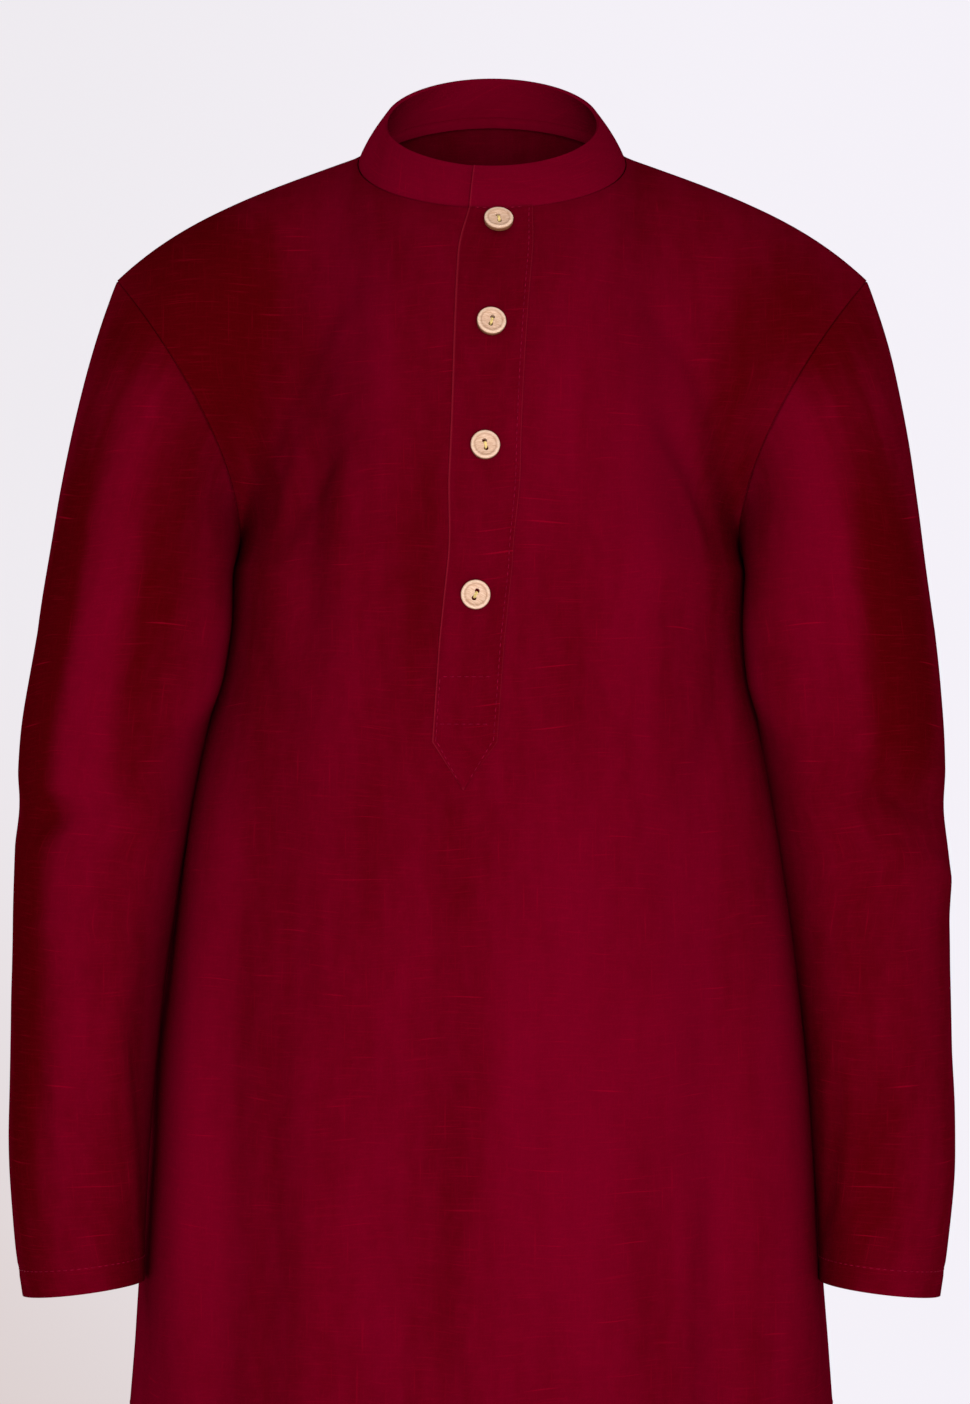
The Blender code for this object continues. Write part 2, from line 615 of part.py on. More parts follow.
def make_kurta():
    """The whole garment."""
    for old in list(bpy.data.objects):
        bpy.data.objects.remove(old, do_unlink=True)
    kurta = bpy.data.collections.new("kurta_tunic")
    cutters = bpy.data.collections.new("cutters")
    bpy.context.scene.collection.children.link(kurta)
    bpy.context.scene.collection.children.link(cutters)

    front, back = panel_points("front"), panel_points("back")
    cloth_from_points("body_front", front, CLOTH, WALL, kurta)
    cloth_from_points("body_back", back, CLOTH, WALL, kurta)
    for name, side in (("sleeve_left", 1), ("sleeve_right", -1)):
        sleeve = sleeve_points(side, armhole_loop(side, front, back))
        cloth_from_points(name, sleeve, CLOTH, WALL, kurta, tube=True)
    cloth_from_points("collar", collar_points(front, back), CLOTH, COLLAR_WALL, kurta)
    placket = placket_points(front)
    cloth_from_points("placket", placket, CLOTH, PLACKET_WALL, kurta)
    sew_buttons(placket, kurta, cutters)


make_kurta()
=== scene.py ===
# %% [markdown]
# # Dressing a child's kurta tunic
# A kurta is a loose, straight tunic. This one is worn, and shows the shape that a body gives it, with
# nobody inside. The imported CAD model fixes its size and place. In this lesson we lay real-looking cloth,
# sewing and turned wooden buttons over that frame, light it and set the camera.

# %% Load the frame
import json
import math

import bmesh
import bpy
import numpy as np
from mathutils import Matrix, Vector, noise
from mathutils.bvhtree import BVHTree

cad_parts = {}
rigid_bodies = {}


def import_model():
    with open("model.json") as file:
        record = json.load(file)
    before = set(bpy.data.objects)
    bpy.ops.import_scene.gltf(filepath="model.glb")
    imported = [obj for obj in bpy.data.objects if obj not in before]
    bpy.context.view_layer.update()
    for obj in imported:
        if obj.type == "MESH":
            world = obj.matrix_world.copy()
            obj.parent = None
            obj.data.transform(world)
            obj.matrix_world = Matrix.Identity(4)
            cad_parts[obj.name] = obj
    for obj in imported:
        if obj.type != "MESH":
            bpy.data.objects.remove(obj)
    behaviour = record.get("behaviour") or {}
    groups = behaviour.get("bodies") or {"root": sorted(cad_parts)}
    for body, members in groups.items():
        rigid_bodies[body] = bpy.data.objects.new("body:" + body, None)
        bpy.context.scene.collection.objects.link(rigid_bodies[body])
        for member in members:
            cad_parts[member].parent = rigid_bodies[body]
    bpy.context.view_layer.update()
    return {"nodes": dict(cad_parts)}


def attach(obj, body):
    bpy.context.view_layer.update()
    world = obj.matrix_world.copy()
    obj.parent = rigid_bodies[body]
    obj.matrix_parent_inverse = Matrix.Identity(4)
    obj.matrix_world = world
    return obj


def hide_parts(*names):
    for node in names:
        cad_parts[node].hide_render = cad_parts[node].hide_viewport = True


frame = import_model()
print("CAD nodes:", sorted(frame["nodes"]))

# %% [markdown]
# ## Sizes
# All sizes are in metres. The front faces -Y, +X is the wearer's left, and heights are written as drops
# below the top of the shoulders. Most of these first tables are the ones that the CAD model was made
# from, so the cloth lies where the CAD says. Only the cloth itself is thinner here.

# %% Sizes of the cut
CLOTH_WALL = 0.0008
COLLAR_WALL = 0.0018
PLACKET_WALL = 0.0009
SEAM_GAP = 0.0003
NECK_HALF_WIDTH, NECK_SIDE_DROP = 0.0605, 0.0040
NECK_FRONT, NECK_BACK = (0.0600, 0.0254), (0.0550, 0.0260)      # how deep, and how far down or up
SHOULDER_ANGLE = math.radians(100)
SHOULDER_TIP = (0.1690, 0.0, -0.0560)
SHOULDER_SLOPE, SHOULDER_CURVE, SHOULDER_CURVE_POWER = 0.38, 115.0, 4
CHEST_DROP, SLIT_DROP, HEM_DROP = 0.187, 0.560, 0.760
SLIT_OPEN = 0.007
SIDE_ROUNDNESS = 2.35
LEAN, LEAN_START, LEAN_END = -0.0048, 0.13, 0.30
PLACKET_WIDTH, PLACKET_END_DROP, PLACKET_TIP_DROP = 0.028, 0.2633, 0.2839
print("Body length from the shoulder:", HEM_DROP)

# %% [markdown]
# The body's section at each height, and how each column of cloth leaves the top edge and reaches the
# chest. side_y is how far back the side seams lie, because the arms hang in front of them and press the
# cloth in. place is 0 in the middle of a panel and 1 at the shoulder tip.

# %% Tables of the body
# drop, half_width, front, back, side_y
BODY_ROWS = [
    (0.187, 0.1163, 0.106, 0.096, 0.020),
    (0.223, 0.1190, 0.108, 0.095, 0.028),
    (0.260, 0.1258, 0.109, 0.094, 0.029),
    (0.304, 0.1331, 0.109, 0.094, 0.029),
    (0.350, 0.1404, 0.110, 0.096, 0.027),
    (0.400, 0.1470, 0.111, 0.100, 0.025),
    (0.461, 0.1522, 0.113, 0.105, 0.023),
    (0.505, 0.1545, 0.115, 0.108, 0.021),
    (0.560, 0.1585, 0.118, 0.112, 0.016),
    (0.760, 0.1760, 0.129, 0.124, 0.006),
]
# place, leave_y, leave_z, arrive_y, arrive_z
FLOW = {
    "front": [
        (0.00, -0.085, -0.130, -0.004, -0.170),
        (0.57, -0.125, -0.045, 0.000, -0.190),
        (0.80, -0.155, -0.030, 0.030, -0.170),
        (1.00, -0.195, -0.100, 0.175, -0.100),
    ],
    "back": [
        (0.00, 0.075, -0.100, 0.004, -0.200),
        (0.57, 0.120, -0.030, 0.000, -0.200),
        (0.80, 0.150, -0.030, -0.030, -0.180),
        (1.00, 0.200, -0.100, -0.180, -0.100),
    ],
}
ARMHOLE_SCOOP = {"front": (-0.090, 0.050), "back": (-0.060, 0.030)}
# drop, across: the placket's middle line
PLACKET_LINE = [(0.029, 0.0039), (0.116, -0.0008), (0.185, -0.0051), (0.220, -0.0088), (0.2633, -0.0119),
                (0.2839, -0.0125), (0.760, -0.0125)]
print("Body sections:", len(BODY_ROWS))

# %% [markdown]
# Broad folds are long, low waves of the cloth: across and lean are metres from the middle line, and
# height is outwards. All but the last two are shared with the CAD model. Those bring the cloth forward
# beside the sleeves, where it hangs full.

# %% Broad folds of the body
# side, across, lean, top, bottom, half_width, height
BODY_FOLDS = [
    ("front", -0.052, 0.006, 0.040, 0.170, 0.026, 0.0026),
    ("front", -0.096, 0.010, 0.070, 0.260, 0.026, -0.0034),
    ("front", 0.070, -0.010, 0.060, 0.240, 0.034, 0.0020),
    ("front", -0.026, 0.000, 0.270, 0.820, 0.022, -0.0045),
    ("front", -0.074, -0.012, 0.300, 0.900, 0.026, 0.0050),
    ("front", -0.122, -0.010, 0.260, 0.900, 0.022, -0.0040),
    ("front", 0.048, 0.006, 0.360, 0.900, 0.028, 0.0042),
    ("front", 0.098, 0.014, 0.300, 0.900, 0.024, -0.0042),
    ("back", 0.040, 0.010, 0.090, 0.330, 0.030, -0.0030),
    ("back", -0.046, -0.008, 0.200, 0.900, 0.028, -0.0046),
    ("back", 0.006, 0.000, 0.300, 0.900, 0.030, 0.0048),
    ("back", 0.064, 0.010, 0.330, 0.900, 0.026, -0.0046),
    ("back", 0.112, 0.010, 0.280, 0.900, 0.024, 0.0040),
    ("back", -0.104, -0.010, 0.260, 0.900, 0.026, 0.0042),
    ("front", -0.141, -0.012, 0.200, 0.600, 0.050, 0.0076),
    ("front", 0.142, 0.012, 0.200, 0.600, 0.050, 0.0076),
]
FOLD_FADE = 0.030
print("Broad folds:", len(BODY_FOLDS))

# %% [markdown]
# A sleeve is a tube of oval sections below the armpit, and a cap above it. A ring could be turned from
# one profile, but a worn sleeve bends at the elbow, so each section has its own place and depth.

# %% Tables of the sleeves
# drop, inner, outer, depth, centre_y
SLEEVE_ROWS = [
    (0.215, 0.1165, 0.2008, 0.0500, -0.010),
    (0.259, 0.1236, 0.2061, 0.0490, -0.015),
    (0.300, 0.1300, 0.2076, 0.0470, -0.018),
    (0.350, 0.1376, 0.2089, 0.0440, -0.022),
    (0.400, 0.1438, 0.2093, 0.0410, -0.027),
    (0.450, 0.1474, 0.2098, 0.0375, -0.032),
    (0.484, 0.1490, 0.2067, 0.0340, -0.035),
    (0.5055, 0.1494, 0.2033, 0.0315, -0.037),
]
CUFF_TILT, CUFF_TILT_LENGTH = 0.0032, 0.050
HEAD_LEAVE_X = (0.0265, 0.0245, 0.030)
HEAD_LEAVE_Y = -0.030
HEAD_LEAVE_Z = (-0.066, -0.054)
HEAD_ARRIVE_X = 0.010
HEAD_ARRIVE_Z = (-0.095, -0.065)
# sleeve, drop, around, half_height, half_angle, height, slant
SLEEVE_FOLDS = [
    ("left", 0.286, 70, 0.018, 95, -0.0045, -0.00012),
    ("left", 0.322, 40, 0.020, 80, 0.0020, -0.00010),
    ("left", 0.410, 110, 0.060, 42, -0.0032, 0.0),
    ("left", 0.250, 250, 0.022, 80, -0.0032, 0.00010),
    ("right", 0.300, 60, 0.018, 90, -0.0042, 0.00012),
    ("right", 0.262, 120, 0.020, 60, -0.0028, 0.00010),
    ("right", 0.390, 150, 0.080, 40, -0.0032, 0.0),
    ("right", 0.262, 250, 0.022, 80, -0.0034, -0.00010),
]
print("Sleeve sections:", len(SLEEVE_ROWS), "and folds:", len(SLEEVE_FOLDS))

# %% [markdown]
# ## Small curves
# Every form below is worked out from a few curves: an even step, a rounded hump, a smooth reading of a
# table, and a Hermite curve, which leaves its start and reaches its end in given directions.

# %% Curves
def smooth_step(value):
    """0 below 0, 1 above 1, and an even curve between."""
    value = np.clip(value, 0.0, 1.0)
    return value * value * (3.0 - 2.0 * value)


def hump(offset):
    """A rounded hump, 1 in its middle and 0 at -1 and +1 and beyond."""
    return np.cos(np.clip(offset, -1.0, 1.0) * math.pi / 2) ** 2


def hermite(start, leave, end, arrive, along):
    """A point along the curve that leaves start and reaches end in the given directions."""
    square, cube = along ** 2, along ** 3
    return ((2 * cube - 3 * square + 1) * start + (cube - 2 * square + along) * leave
            + (3 * square - 2 * cube) * end + (cube - square) * arrive)


def curve_at(rows, place, column):
    """One column of a table, read between its rows along a smooth curve."""
    places = [row[0] for row in rows]
    last = len(rows) - 2
    index = min(max(int(np.searchsorted(places, place)) - 1, 0), last)
    start, end = rows[index], rows[index + 1]
    span = end[0] - start[0]
    before, after = rows[max(index - 1, 0)], rows[min(index + 2, last + 1)]
    slope_in = (end[column] - before[column]) / (end[0] - before[0]) * span
    slope_out = (after[column] - start[column]) / (after[0] - start[0]) * span
    along = min(max((place - start[0]) / span, 0.0), 1.0)
    return float(hermite(start[column], slope_in, end[column], slope_out, along))


def lean_at(drop):
    """How far the garment hangs aside at this height."""
    return LEAN * float(smooth_step((drop - LEAN_START) / (LEAN_END - LEAN_START)))


print("The garment's lean at the chest and at the hem:", round(lean_at(CHEST_DROP), 5), lean_at(HEM_DROP))

# %% [markdown]
# ## The neckline, the shoulders and the body's sections
# The neckline is an ellipse that dips in front. Its angle runs from the front (0) round the wearer's left.

# %% Neckline and shoulder line
def dipping_ring(angle, half_width, front, back, level):
    """A point of an oval that dips in front: front and back say how deep, and how far down or up."""
    cosine = math.cos(angle)
    depth, climb = front if cosine > 0 else back
    return np.array([half_width * math.sin(angle), -depth * cosine, level - climb * cosine])


def neckline(angle):
    """A point of the neckline."""
    return dipping_ring(angle, NECK_HALF_WIDTH, NECK_FRONT, NECK_BACK, -NECK_SIDE_DROP)


def shoulder_fall(reach):
    """How far a shoulder of this length slopes down."""
    return SHOULDER_SLOPE * reach + SHOULDER_CURVE * reach ** SHOULDER_CURVE_POWER


def shoulder_line(along, side):
    """A point of the shoulder seam: along is 0 at the tip and 1 at the neck."""
    neck = neckline(SHOULDER_ANGLE)
    full = SHOULDER_TIP[0] - neck[0]
    reach = full * (1.0 - along)
    share = shoulder_fall(reach) / shoulder_fall(full)
    level = neck[2] - share * (neck[2] - SHOULDER_TIP[2])
    return np.array([side * (neck[0] + reach), neck[1] * along, level])


print("Neckline in front:", neckline(0.0).round(4), "at the shoulder:", shoulder_line(1.0, 1).round(4))

# %% [markdown]
# A panel is a grid. Its columns are counted across: the front has 28 (6 for each shoulder, 6 for each
# side of the neck, 4 for the placket) and the back has 22. Any number between is allowed, so the same
# functions give a coarse grid or a fine one.

# %% Columns of the panels
LAST_COLUMN = {"front": 28, "back": 22}
SHOULDER_COLUMNS = 6
PLACKET_LEFT, PLACKET_MIDDLE, PLACKET_RIGHT = 12, 14, 16     # the placket's columns, seen from the front
FRONT_NECK_END, BACK_NECK_END = (LAST_COLUMN[face] - SHOULDER_COLUMNS for face in ("front", "back"))


def placket_middle(drop):
    """The placket's middle line at this height."""
    return float(np.interp(drop, [row[0] for row in PLACKET_LINE], [row[1] for row in PLACKET_LINE]))


def neck_angle(face, column):
    """The angle at which a column meets the neckline."""
    if face == "back":
        return float(np.interp(column, [SHOULDER_COLUMNS, BACK_NECK_END],
                               [-SHOULDER_ANGLE, SHOULDER_ANGLE - 2 * math.pi]))
    start = placket_middle(-neckline(0.0)[2])
    edges = [start - PLACKET_WIDTH / 2, start + PLACKET_WIDTH / 2]
    left, right = (math.asin(edge / NECK_HALF_WIDTH) for edge in edges)
    if column <= PLACKET_LEFT:
        return float(np.interp(column, [SHOULDER_COLUMNS, PLACKET_LEFT], [-SHOULDER_ANGLE, left]))
    if column >= PLACKET_RIGHT:
        return float(np.interp(column, [PLACKET_RIGHT, FRONT_NECK_END], [right, SHOULDER_ANGLE]))
    return math.asin(float(np.interp(column, [PLACKET_LEFT, PLACKET_RIGHT], edges)) / NECK_HALF_WIDTH)


def top_point(face, column):
    """Where a column starts: on a shoulder or on the neckline."""
    last = LAST_COLUMN[face]
    if column < SHOULDER_COLUMNS:
        return shoulder_line(column / SHOULDER_COLUMNS, -1)
    if column > last - SHOULDER_COLUMNS:
        return shoulder_line((last - column) / SHOULDER_COLUMNS, 1)
    return neckline(neck_angle(face, column))


print("The placket meets the neckline at:", round(placket_middle(-neckline(0.0)[2]), 4))

# %% [markdown]
# Below the armpit the body's section is a squared ellipse. Each column crosses it at a fraction of its
# length, and the side edges draw apart below the top of the slits.

# %% Sections of the body
def section_arc(drop, face):
    """A quarter of the body's section, from its middle to its side, and the length along it."""
    half_width, side_y = curve_at(BODY_ROWS, drop, 1), curve_at(BODY_ROWS, drop, 4)
    front, back = curve_at(BODY_ROWS, drop, 2) + side_y, curve_at(BODY_ROWS, drop, 3) - side_y
    depth = front if face == "front" else back
    turn = np.linspace(0.0, math.pi / 2, 181)
    across = half_width * np.sin(turn) ** (2 / SIDE_ROUNDNESS)
    forward = depth * np.clip(np.cos(turn), 0, 1) ** (2 / SIDE_ROUNDNESS)
    lengths = np.concatenate([[0.0], np.cumsum(np.hypot(np.diff(across), np.diff(forward)))])
    return across, forward, lengths


def section_points(drop, face, columns):
    """The panel's columns at one height below the armpit."""
    across, forward, lengths = section_arc(drop, face)
    opening = SLIT_OPEN * float(smooth_step((drop - SLIT_DROP) / (HEM_DROP - SLIT_DROP)))
    edge = 1.0 - (SEAM_GAP / 2 + opening) / lengths[-1]
    middle = (placket_middle(drop) - lean_at(drop)) / lengths[-1]
    half = PLACKET_WIDTH / 2 / lengths[-1]
    if face == "back":
        fractions = np.interp(columns, [0, LAST_COLUMN["back"]], [-edge, edge])
    else:
        fractions = np.interp(columns, [0, PLACKET_LEFT, PLACKET_RIGHT, LAST_COLUMN["front"]],
                              [-edge, middle - half, middle + half, edge])
    reach = np.abs(fractions) * lengths[-1]
    x = np.sign(fractions) * np.interp(reach, lengths, across) + lean_at(drop)
    y = curve_at(BODY_ROWS, drop, 4) + np.interp(reach, lengths, forward) * (-1 if face == "front" else 1)
    return np.stack([x, y, np.full(len(columns), -drop)], axis=1)


print("Half round the chest in front:", round(2 * section_arc(CHEST_DROP, "front")[2][-1], 4))

# %% [markdown]
# Above the armpit each column follows a Hermite curve from the shoulder or neckline to the chest. Rows
# 0 to 10 are this yoke, 10 to 13 run down the placket, 13 to 14 are its pointed tip, and 14 to 28 the
# skirt.

# %% Points of a panel
YOKE_ROWS, TIP_ROW, SKIRT_ROW, LAST_ROW = 10, 13, 14, 28
ROW_DROPS = ([YOKE_ROWS, TIP_ROW, SKIRT_ROW, LAST_ROW],
             [CHEST_DROP, PLACKET_END_DROP, PLACKET_TIP_DROP, HEM_DROP])
YOKE_EASE = 1.2             # above 1, the first rows lie closer together


def yoke_pulls(face, columns):
    """How each column leaves the top edge and reaches the chest."""
    half = LAST_COLUMN[face] / 2
    places = [abs(column - half) / half for column in columns]
    pulls = np.array([[curve_at(FLOW[face], place, k) for k in range(1, 5)] for place in places])
    zeros = np.zeros(len(columns))
    return np.stack([zeros, pulls[:, 0], pulls[:, 1]], 1), np.stack([zeros, pulls[:, 2], pulls[:, 3]], 1)


def panel_points(face, rows, columns):
    """The front or the back, before its folds, at these rows and columns."""
    top = np.array([top_point(face, column) for column in columns])
    chest = section_points(CHEST_DROP, face, columns)
    leave, arrive = yoke_pulls(face, columns)
    tip, side = SHOULDER_TIP[0], chest[-1, 0]
    leave_x, arrive_x = ARMHOLE_SCOOP[face]
    points = []
    for row in rows:
        if row >= YOKE_ROWS:
            points.append(section_points(float(np.interp(row, *ROW_DROPS)), face, columns))
            continue
        along = (row / YOKE_ROWS) ** YOKE_EASE
        width = hermite(tip, leave_x, side, arrive_x, along)
        line = hermite(top, leave, chest, arrive, along)
        line[:, 0] = width * (top[:, 0] / tip * (1.0 - along) + chest[:, 0] / side * along)
        points.append(line)
    return np.array(points)


coarse_front = panel_points("front", range(LAST_ROW + 1), range(LAST_COLUMN["front"] + 1))
print("A coarse front:", coarse_front.shape)

# %% [markdown]
# Normals come from the grid itself. Distances along the grid tell us how near a point is to a seam.

# %% Normals and distances
def grid_normals(points, outwards, tube=False):
    """Each point's normal on a grid of points, turned to the outer side."""
    along = np.gradient(points, axis=0)
    if tube:
        across = np.roll(points, -1, axis=1) - np.roll(points, 1, axis=1)
    else:
        across = np.gradient(points, axis=1)
    normals = np.cross(across, along)
    normals /= np.maximum(np.linalg.norm(normals, axis=2, keepdims=True), 1e-9)
    return normals * np.sign(np.sum(normals * outwards, axis=2).sum())


def lengths_along(points, axis):
    """The length along the grid's lines from their first point."""
    steps = np.linalg.norm(np.diff(points, axis=axis), axis=2)
    start = np.zeros((1, points.shape[1])) if axis == 0 else np.zeros((points.shape[0], 1))
    return np.concatenate([start, np.cumsum(steps, axis=axis)], axis=axis)


print("Longest column of the coarse front:", round(float(lengths_along(coarse_front, 0)[-1].max()), 4))

# %% [markdown]
# ## Folds and creases
# Broad folds run down the body. Creases are finer: each goes from one place to another with a bend, a
# width and a height, and fades out at both ends. No two are alike, as in worn cotton.

# %% Creases of the body
# side, from_across, from_drop, to_across, to_drop, bend, half_width, height
BODY_CREASES = [
    ("front", -0.128, 0.150, -0.060, 0.050, 0.010, 0.012, -0.0016),
    ("front", -0.118, 0.196, -0.040, 0.118, 0.014, 0.013, -0.0014),
    ("front", -0.116, 0.170, -0.064, 0.094, 0.010, 0.010, 0.0012),
    ("front", -0.124, 0.214, -0.070, 0.262, -0.010, 0.013, -0.0015),
    ("front", -0.040, 0.110, -0.030, 0.300, 0.004, 0.014, -0.0018),
    ("front", -0.070, 0.110, -0.062, 0.235, -0.004, 0.020, 0.0016),
    ("front", 0.132, 0.140, 0.070, 0.058, -0.008, 0.011, -0.0014),
    ("front", 0.124, 0.186, 0.074, 0.112, -0.010, 0.014, -0.0020),
    ("front", 0.128, 0.206, 0.060, 0.196, 0.010, 0.012, -0.0012),
    ("front", 0.118, 0.226, 0.072, 0.300, 0.012, 0.014, -0.0014),
    ("front", 0.040, 0.240, 0.076, 0.420, 0.008, 0.016, 0.0010),
    ("front", -0.100, 0.330, -0.070, 0.460, 0.010, 0.015, -0.0012),
    ("front", 0.110, 0.420, 0.080, 0.560, -0.010, 0.016, 0.0012),
    ("front", -0.044, 0.470, -0.050, 0.700, 0.006, 0.014, 0.0014),
    ("front", 0.020, 0.520, 0.030, 0.745, -0.004, 0.016, -0.0014),
    ("front", -0.140, 0.540, -0.130, 0.720, 0.006, 0.014, 0.0012),
    ("front", 0.145, 0.540, 0.150, 0.740, -0.005, 0.013, -0.0012),
    ("back", -0.126, 0.160, -0.062, 0.070, 0.012, 0.013, -0.0018),
    ("back", -0.120, 0.204, -0.050, 0.150, 0.012, 0.012, -0.0014),
    ("back", 0.128, 0.150, 0.066, 0.078, -0.012, 0.012, -0.0016),
    ("back", 0.120, 0.208, 0.058, 0.170, -0.014, 0.014, -0.0018),
    ("back", 0.030, 0.120, 0.036, 0.270, 0.006, 0.014, -0.0014),
    ("back", -0.030, 0.200, -0.040, 0.400, -0.006, 0.016, 0.0014),
    ("back", 0.084, 0.300, 0.072, 0.500, 0.008, 0.016, 0.0013),
    ("back", -0.090, 0.420, -0.080, 0.640, -0.008, 0.015, -0.0015),
    ("back", 0.022, 0.480, 0.030, 0.720, 0.006, 0.015, -0.0014),
    ("back", 0.132, 0.500, 0.140, 0.730, 0.004, 0.014, 0.0012),
]


def crease_heights(creases, across, down):
    """The height of a list of creases at places across and down a piece."""
    total = np.zeros_like(across)
    for _, x0, y0, x1, y1, bend, half_width, height in creases:
        length = math.hypot(x1 - x0, y1 - y0)
        ux, uy = (x1 - x0) / length, (y1 - y0) / length
        along = ((across - x0) * ux + (down - y0) * uy) / length
        aside = (across - x0) * uy - (down - y0) * ux
        inside = np.clip(along, 0.0, 1.0)
        ends = smooth_step(inside / 0.35) * smooth_step((1.0 - inside) / 0.35)
        width = half_width * (0.7 + 0.6 * inside)
        total += height * ends * hump((aside - bend * 4 * inside * (1 - inside)) / width)
    return total


def fold_heights(folds, across, drop):
    """The height of the body's broad folds."""
    total = np.zeros_like(across)
    for _, middle, lean, top, bottom, half_width, rise in folds:
        along = np.clip((drop - top) / (bottom - top), 0.0, 1.0)
        ends = smooth_step(along / 0.3) * smooth_step((1.0 - along) / 0.3)
        total += rise * ends * hump((across - middle - lean * along) / half_width)
    return total


print("Creases of the body:", len(BODY_CREASES))

# %% [markdown]
# Cotton is never quite even, so a little slow noise moves each point in or out. At every seam the cloth
# turns in over its last millimetres, which leaves a fine groove between two pieces.

# %% Unevenness and seam grooves
GROOVE_DEPTH, GROOVE_WIDTH = 0.0004, 0.0026
# size, height, seed
WAVES = [(0.070, 0.0009, 3.0), (0.026, 0.00028, 11.0)]


def waviness(points):
    """Slow, small unevenness, the same on every run."""
    flat = points.reshape(-1, 3)
    heights = np.zeros(len(flat))
    for size, height, seed in WAVES:
        heights += [height * noise.noise(Vector(point) / size + Vector((seed, 0, 0))) for point in flat]
    return heights.reshape(points.shape[:2])


def groove(distance):
    """How far the cloth turns in this close to a seam."""
    return -GROOVE_DEPTH * (1.0 - smooth_step(distance / GROOVE_WIDTH))


print("Most unevenness of the coarse front:", round(float(np.abs(waviness(coarse_front)).max()), 5))

# %% [markdown]
# Painted shading: in some places the red is painted deeper as shade, near the armholes, beside the placket
# and along the sleeves, and in others brighter as painted light, on lit bands and where the body meets the
# sleeves.
# across and drop say where on a piece, and more is deeper. On a sleeve, across is measured round from its
# outer side.

# %% Painted shade and painted light in the red
EVEN_DYE, COLLAR_DYE = 0.40, 0.10
# piece, across, drop, half_across, half_drop, more
# Painted shading: a positive more paints shade, a negative more paints light.
PAINTED_SHADING = [
    ("front", -0.131, 0.070, 0.055, 0.080, 0.60),
    ("front", -0.112, 0.125, 0.034, 0.080, 0.25),
    ("front", -0.030, 0.140, 0.020, 0.150, 0.12),
    ("front", -0.055, 0.101, 0.030, 0.090, -0.15),
    ("front", 0.040, 0.120, 0.045, 0.140, -0.20),
    ("front", 0.074, 0.140, 0.030, 0.130, -0.35),
    ("front", 0.106, 0.120, 0.028, 0.080, 0.22),
    ("front", 0.080, 0.400, 0.050, 0.260, -0.30),
    ("front", 0.025, 0.430, 0.045, 0.280, -0.30),
    ("front", -0.060, 0.450, 0.050, 0.200, -0.12),
    ("front", -0.150, 0.400, 0.055, 0.300, -0.40),
    ("front", 0.150, 0.400, 0.055, 0.300, -0.40),
    ("front", 0.139, 0.079, 0.050, 0.050, 0.32),
    ("left", 0.060, 0.075, 0.080, 0.045, 0.40),
    ("left", 0.082, 0.180, 0.028, 0.130, -0.35),
    ("left", 0.048, 0.215, 0.034, 0.120, 0.60),
    ("left", 0.086, 0.430, 0.024, 0.120, 0.10),
    ("left", 0.055, 0.450, 0.026, 0.090, 0.20),
    ("left", 0.128, 0.330, 0.028, 0.300, -0.40),
    ("right", 0.050, 0.075, 0.080, 0.040, 0.35),
    ("right", 0.058, 0.250, 0.026, 0.300, -0.25),
    ("right", 0.088, 0.180, 0.040, 0.160, 0.25),
    ("right", 0.028, 0.310, 0.026, 0.300, 0.60),
    ("right", 0.036, 0.200, 0.026, 0.090, 0.35),
    ("right", 0.120, 0.350, 0.034, 0.330, -0.40),
]


def tone_and_shading_depth(piece, across, drop):
    """How deep the red is, from 0 to 1: its even tone with painted shade and painted light."""
    depth = np.full_like(across, EVEN_DYE)
    for name, middle, level, half_across, half_drop, more in PAINTED_SHADING:
        if name == piece:
            depth += more * hump((across - middle) / half_across) * hump((drop - level) / half_drop)
    return np.clip(depth, 0.0, 1.0)


print("Places of deeper or brighter dye:", len(PAINTED_SHADING))

# %% [markdown]
# ## Grids
# The grids are a few millimetres fine, and finer beside seams, hems and the placket.

# %% Rows and columns of the fine grids
def fine_steps(first, last, count, near_first=(), near_last=()):
    """Even steps from first to last, with extra ones close to the ends."""
    extra = [first + step for step in near_first] + [last - step for step in near_last]
    return np.unique(np.round(np.concatenate([np.linspace(first, last, count + 1), extra]), 5))


HEM_FOLD = 0.018            # the hem's turned-up strip
HEM_DENT = 0.0003           # how deep its stitches pull the cloth in
hem_line = np.interp(HEM_DROP - HEM_FOLD, ROW_DROPS[1], ROW_DROPS[0])
panel_rows = np.unique(np.concatenate([
    fine_steps(0, YOKE_ROWS, 72, near_first=(0.02, 0.06)),
    fine_steps(YOKE_ROWS, TIP_ROW, 24),
    fine_steps(TIP_ROW, SKIRT_ROW, 7),
    fine_steps(SKIRT_ROW, LAST_ROW, 128, near_last=(0.012, 0.03)),
    hem_line + np.array([-0.035, 0.0, 0.035]),
]))
panel_columns = {
    "front": np.unique(np.concatenate([
        fine_steps(0, PLACKET_LEFT, 66, near_first=(0.03, 0.09)),
        fine_steps(PLACKET_LEFT, PLACKET_RIGHT, 18),
        fine_steps(PLACKET_RIGHT, LAST_COLUMN["front"], 66, near_last=(0.03, 0.09)),
    ])),
    "back": fine_steps(0, LAST_COLUMN["back"], 144, near_first=(0.03, 0.08), near_last=(0.03, 0.08)),
}
print("Panel rows:", len(panel_rows), "front columns:", len(panel_columns["front"]))

# %% [markdown]
# ## The front and the back
# First the smooth form, then its folds and creases, which fade out at the side seams, and last the
# grooves. The shoulder edges are drawn back a little, because the two walls lean together at the ridge.

# %% Shape the panels
CORNER_COLUMNS = 7


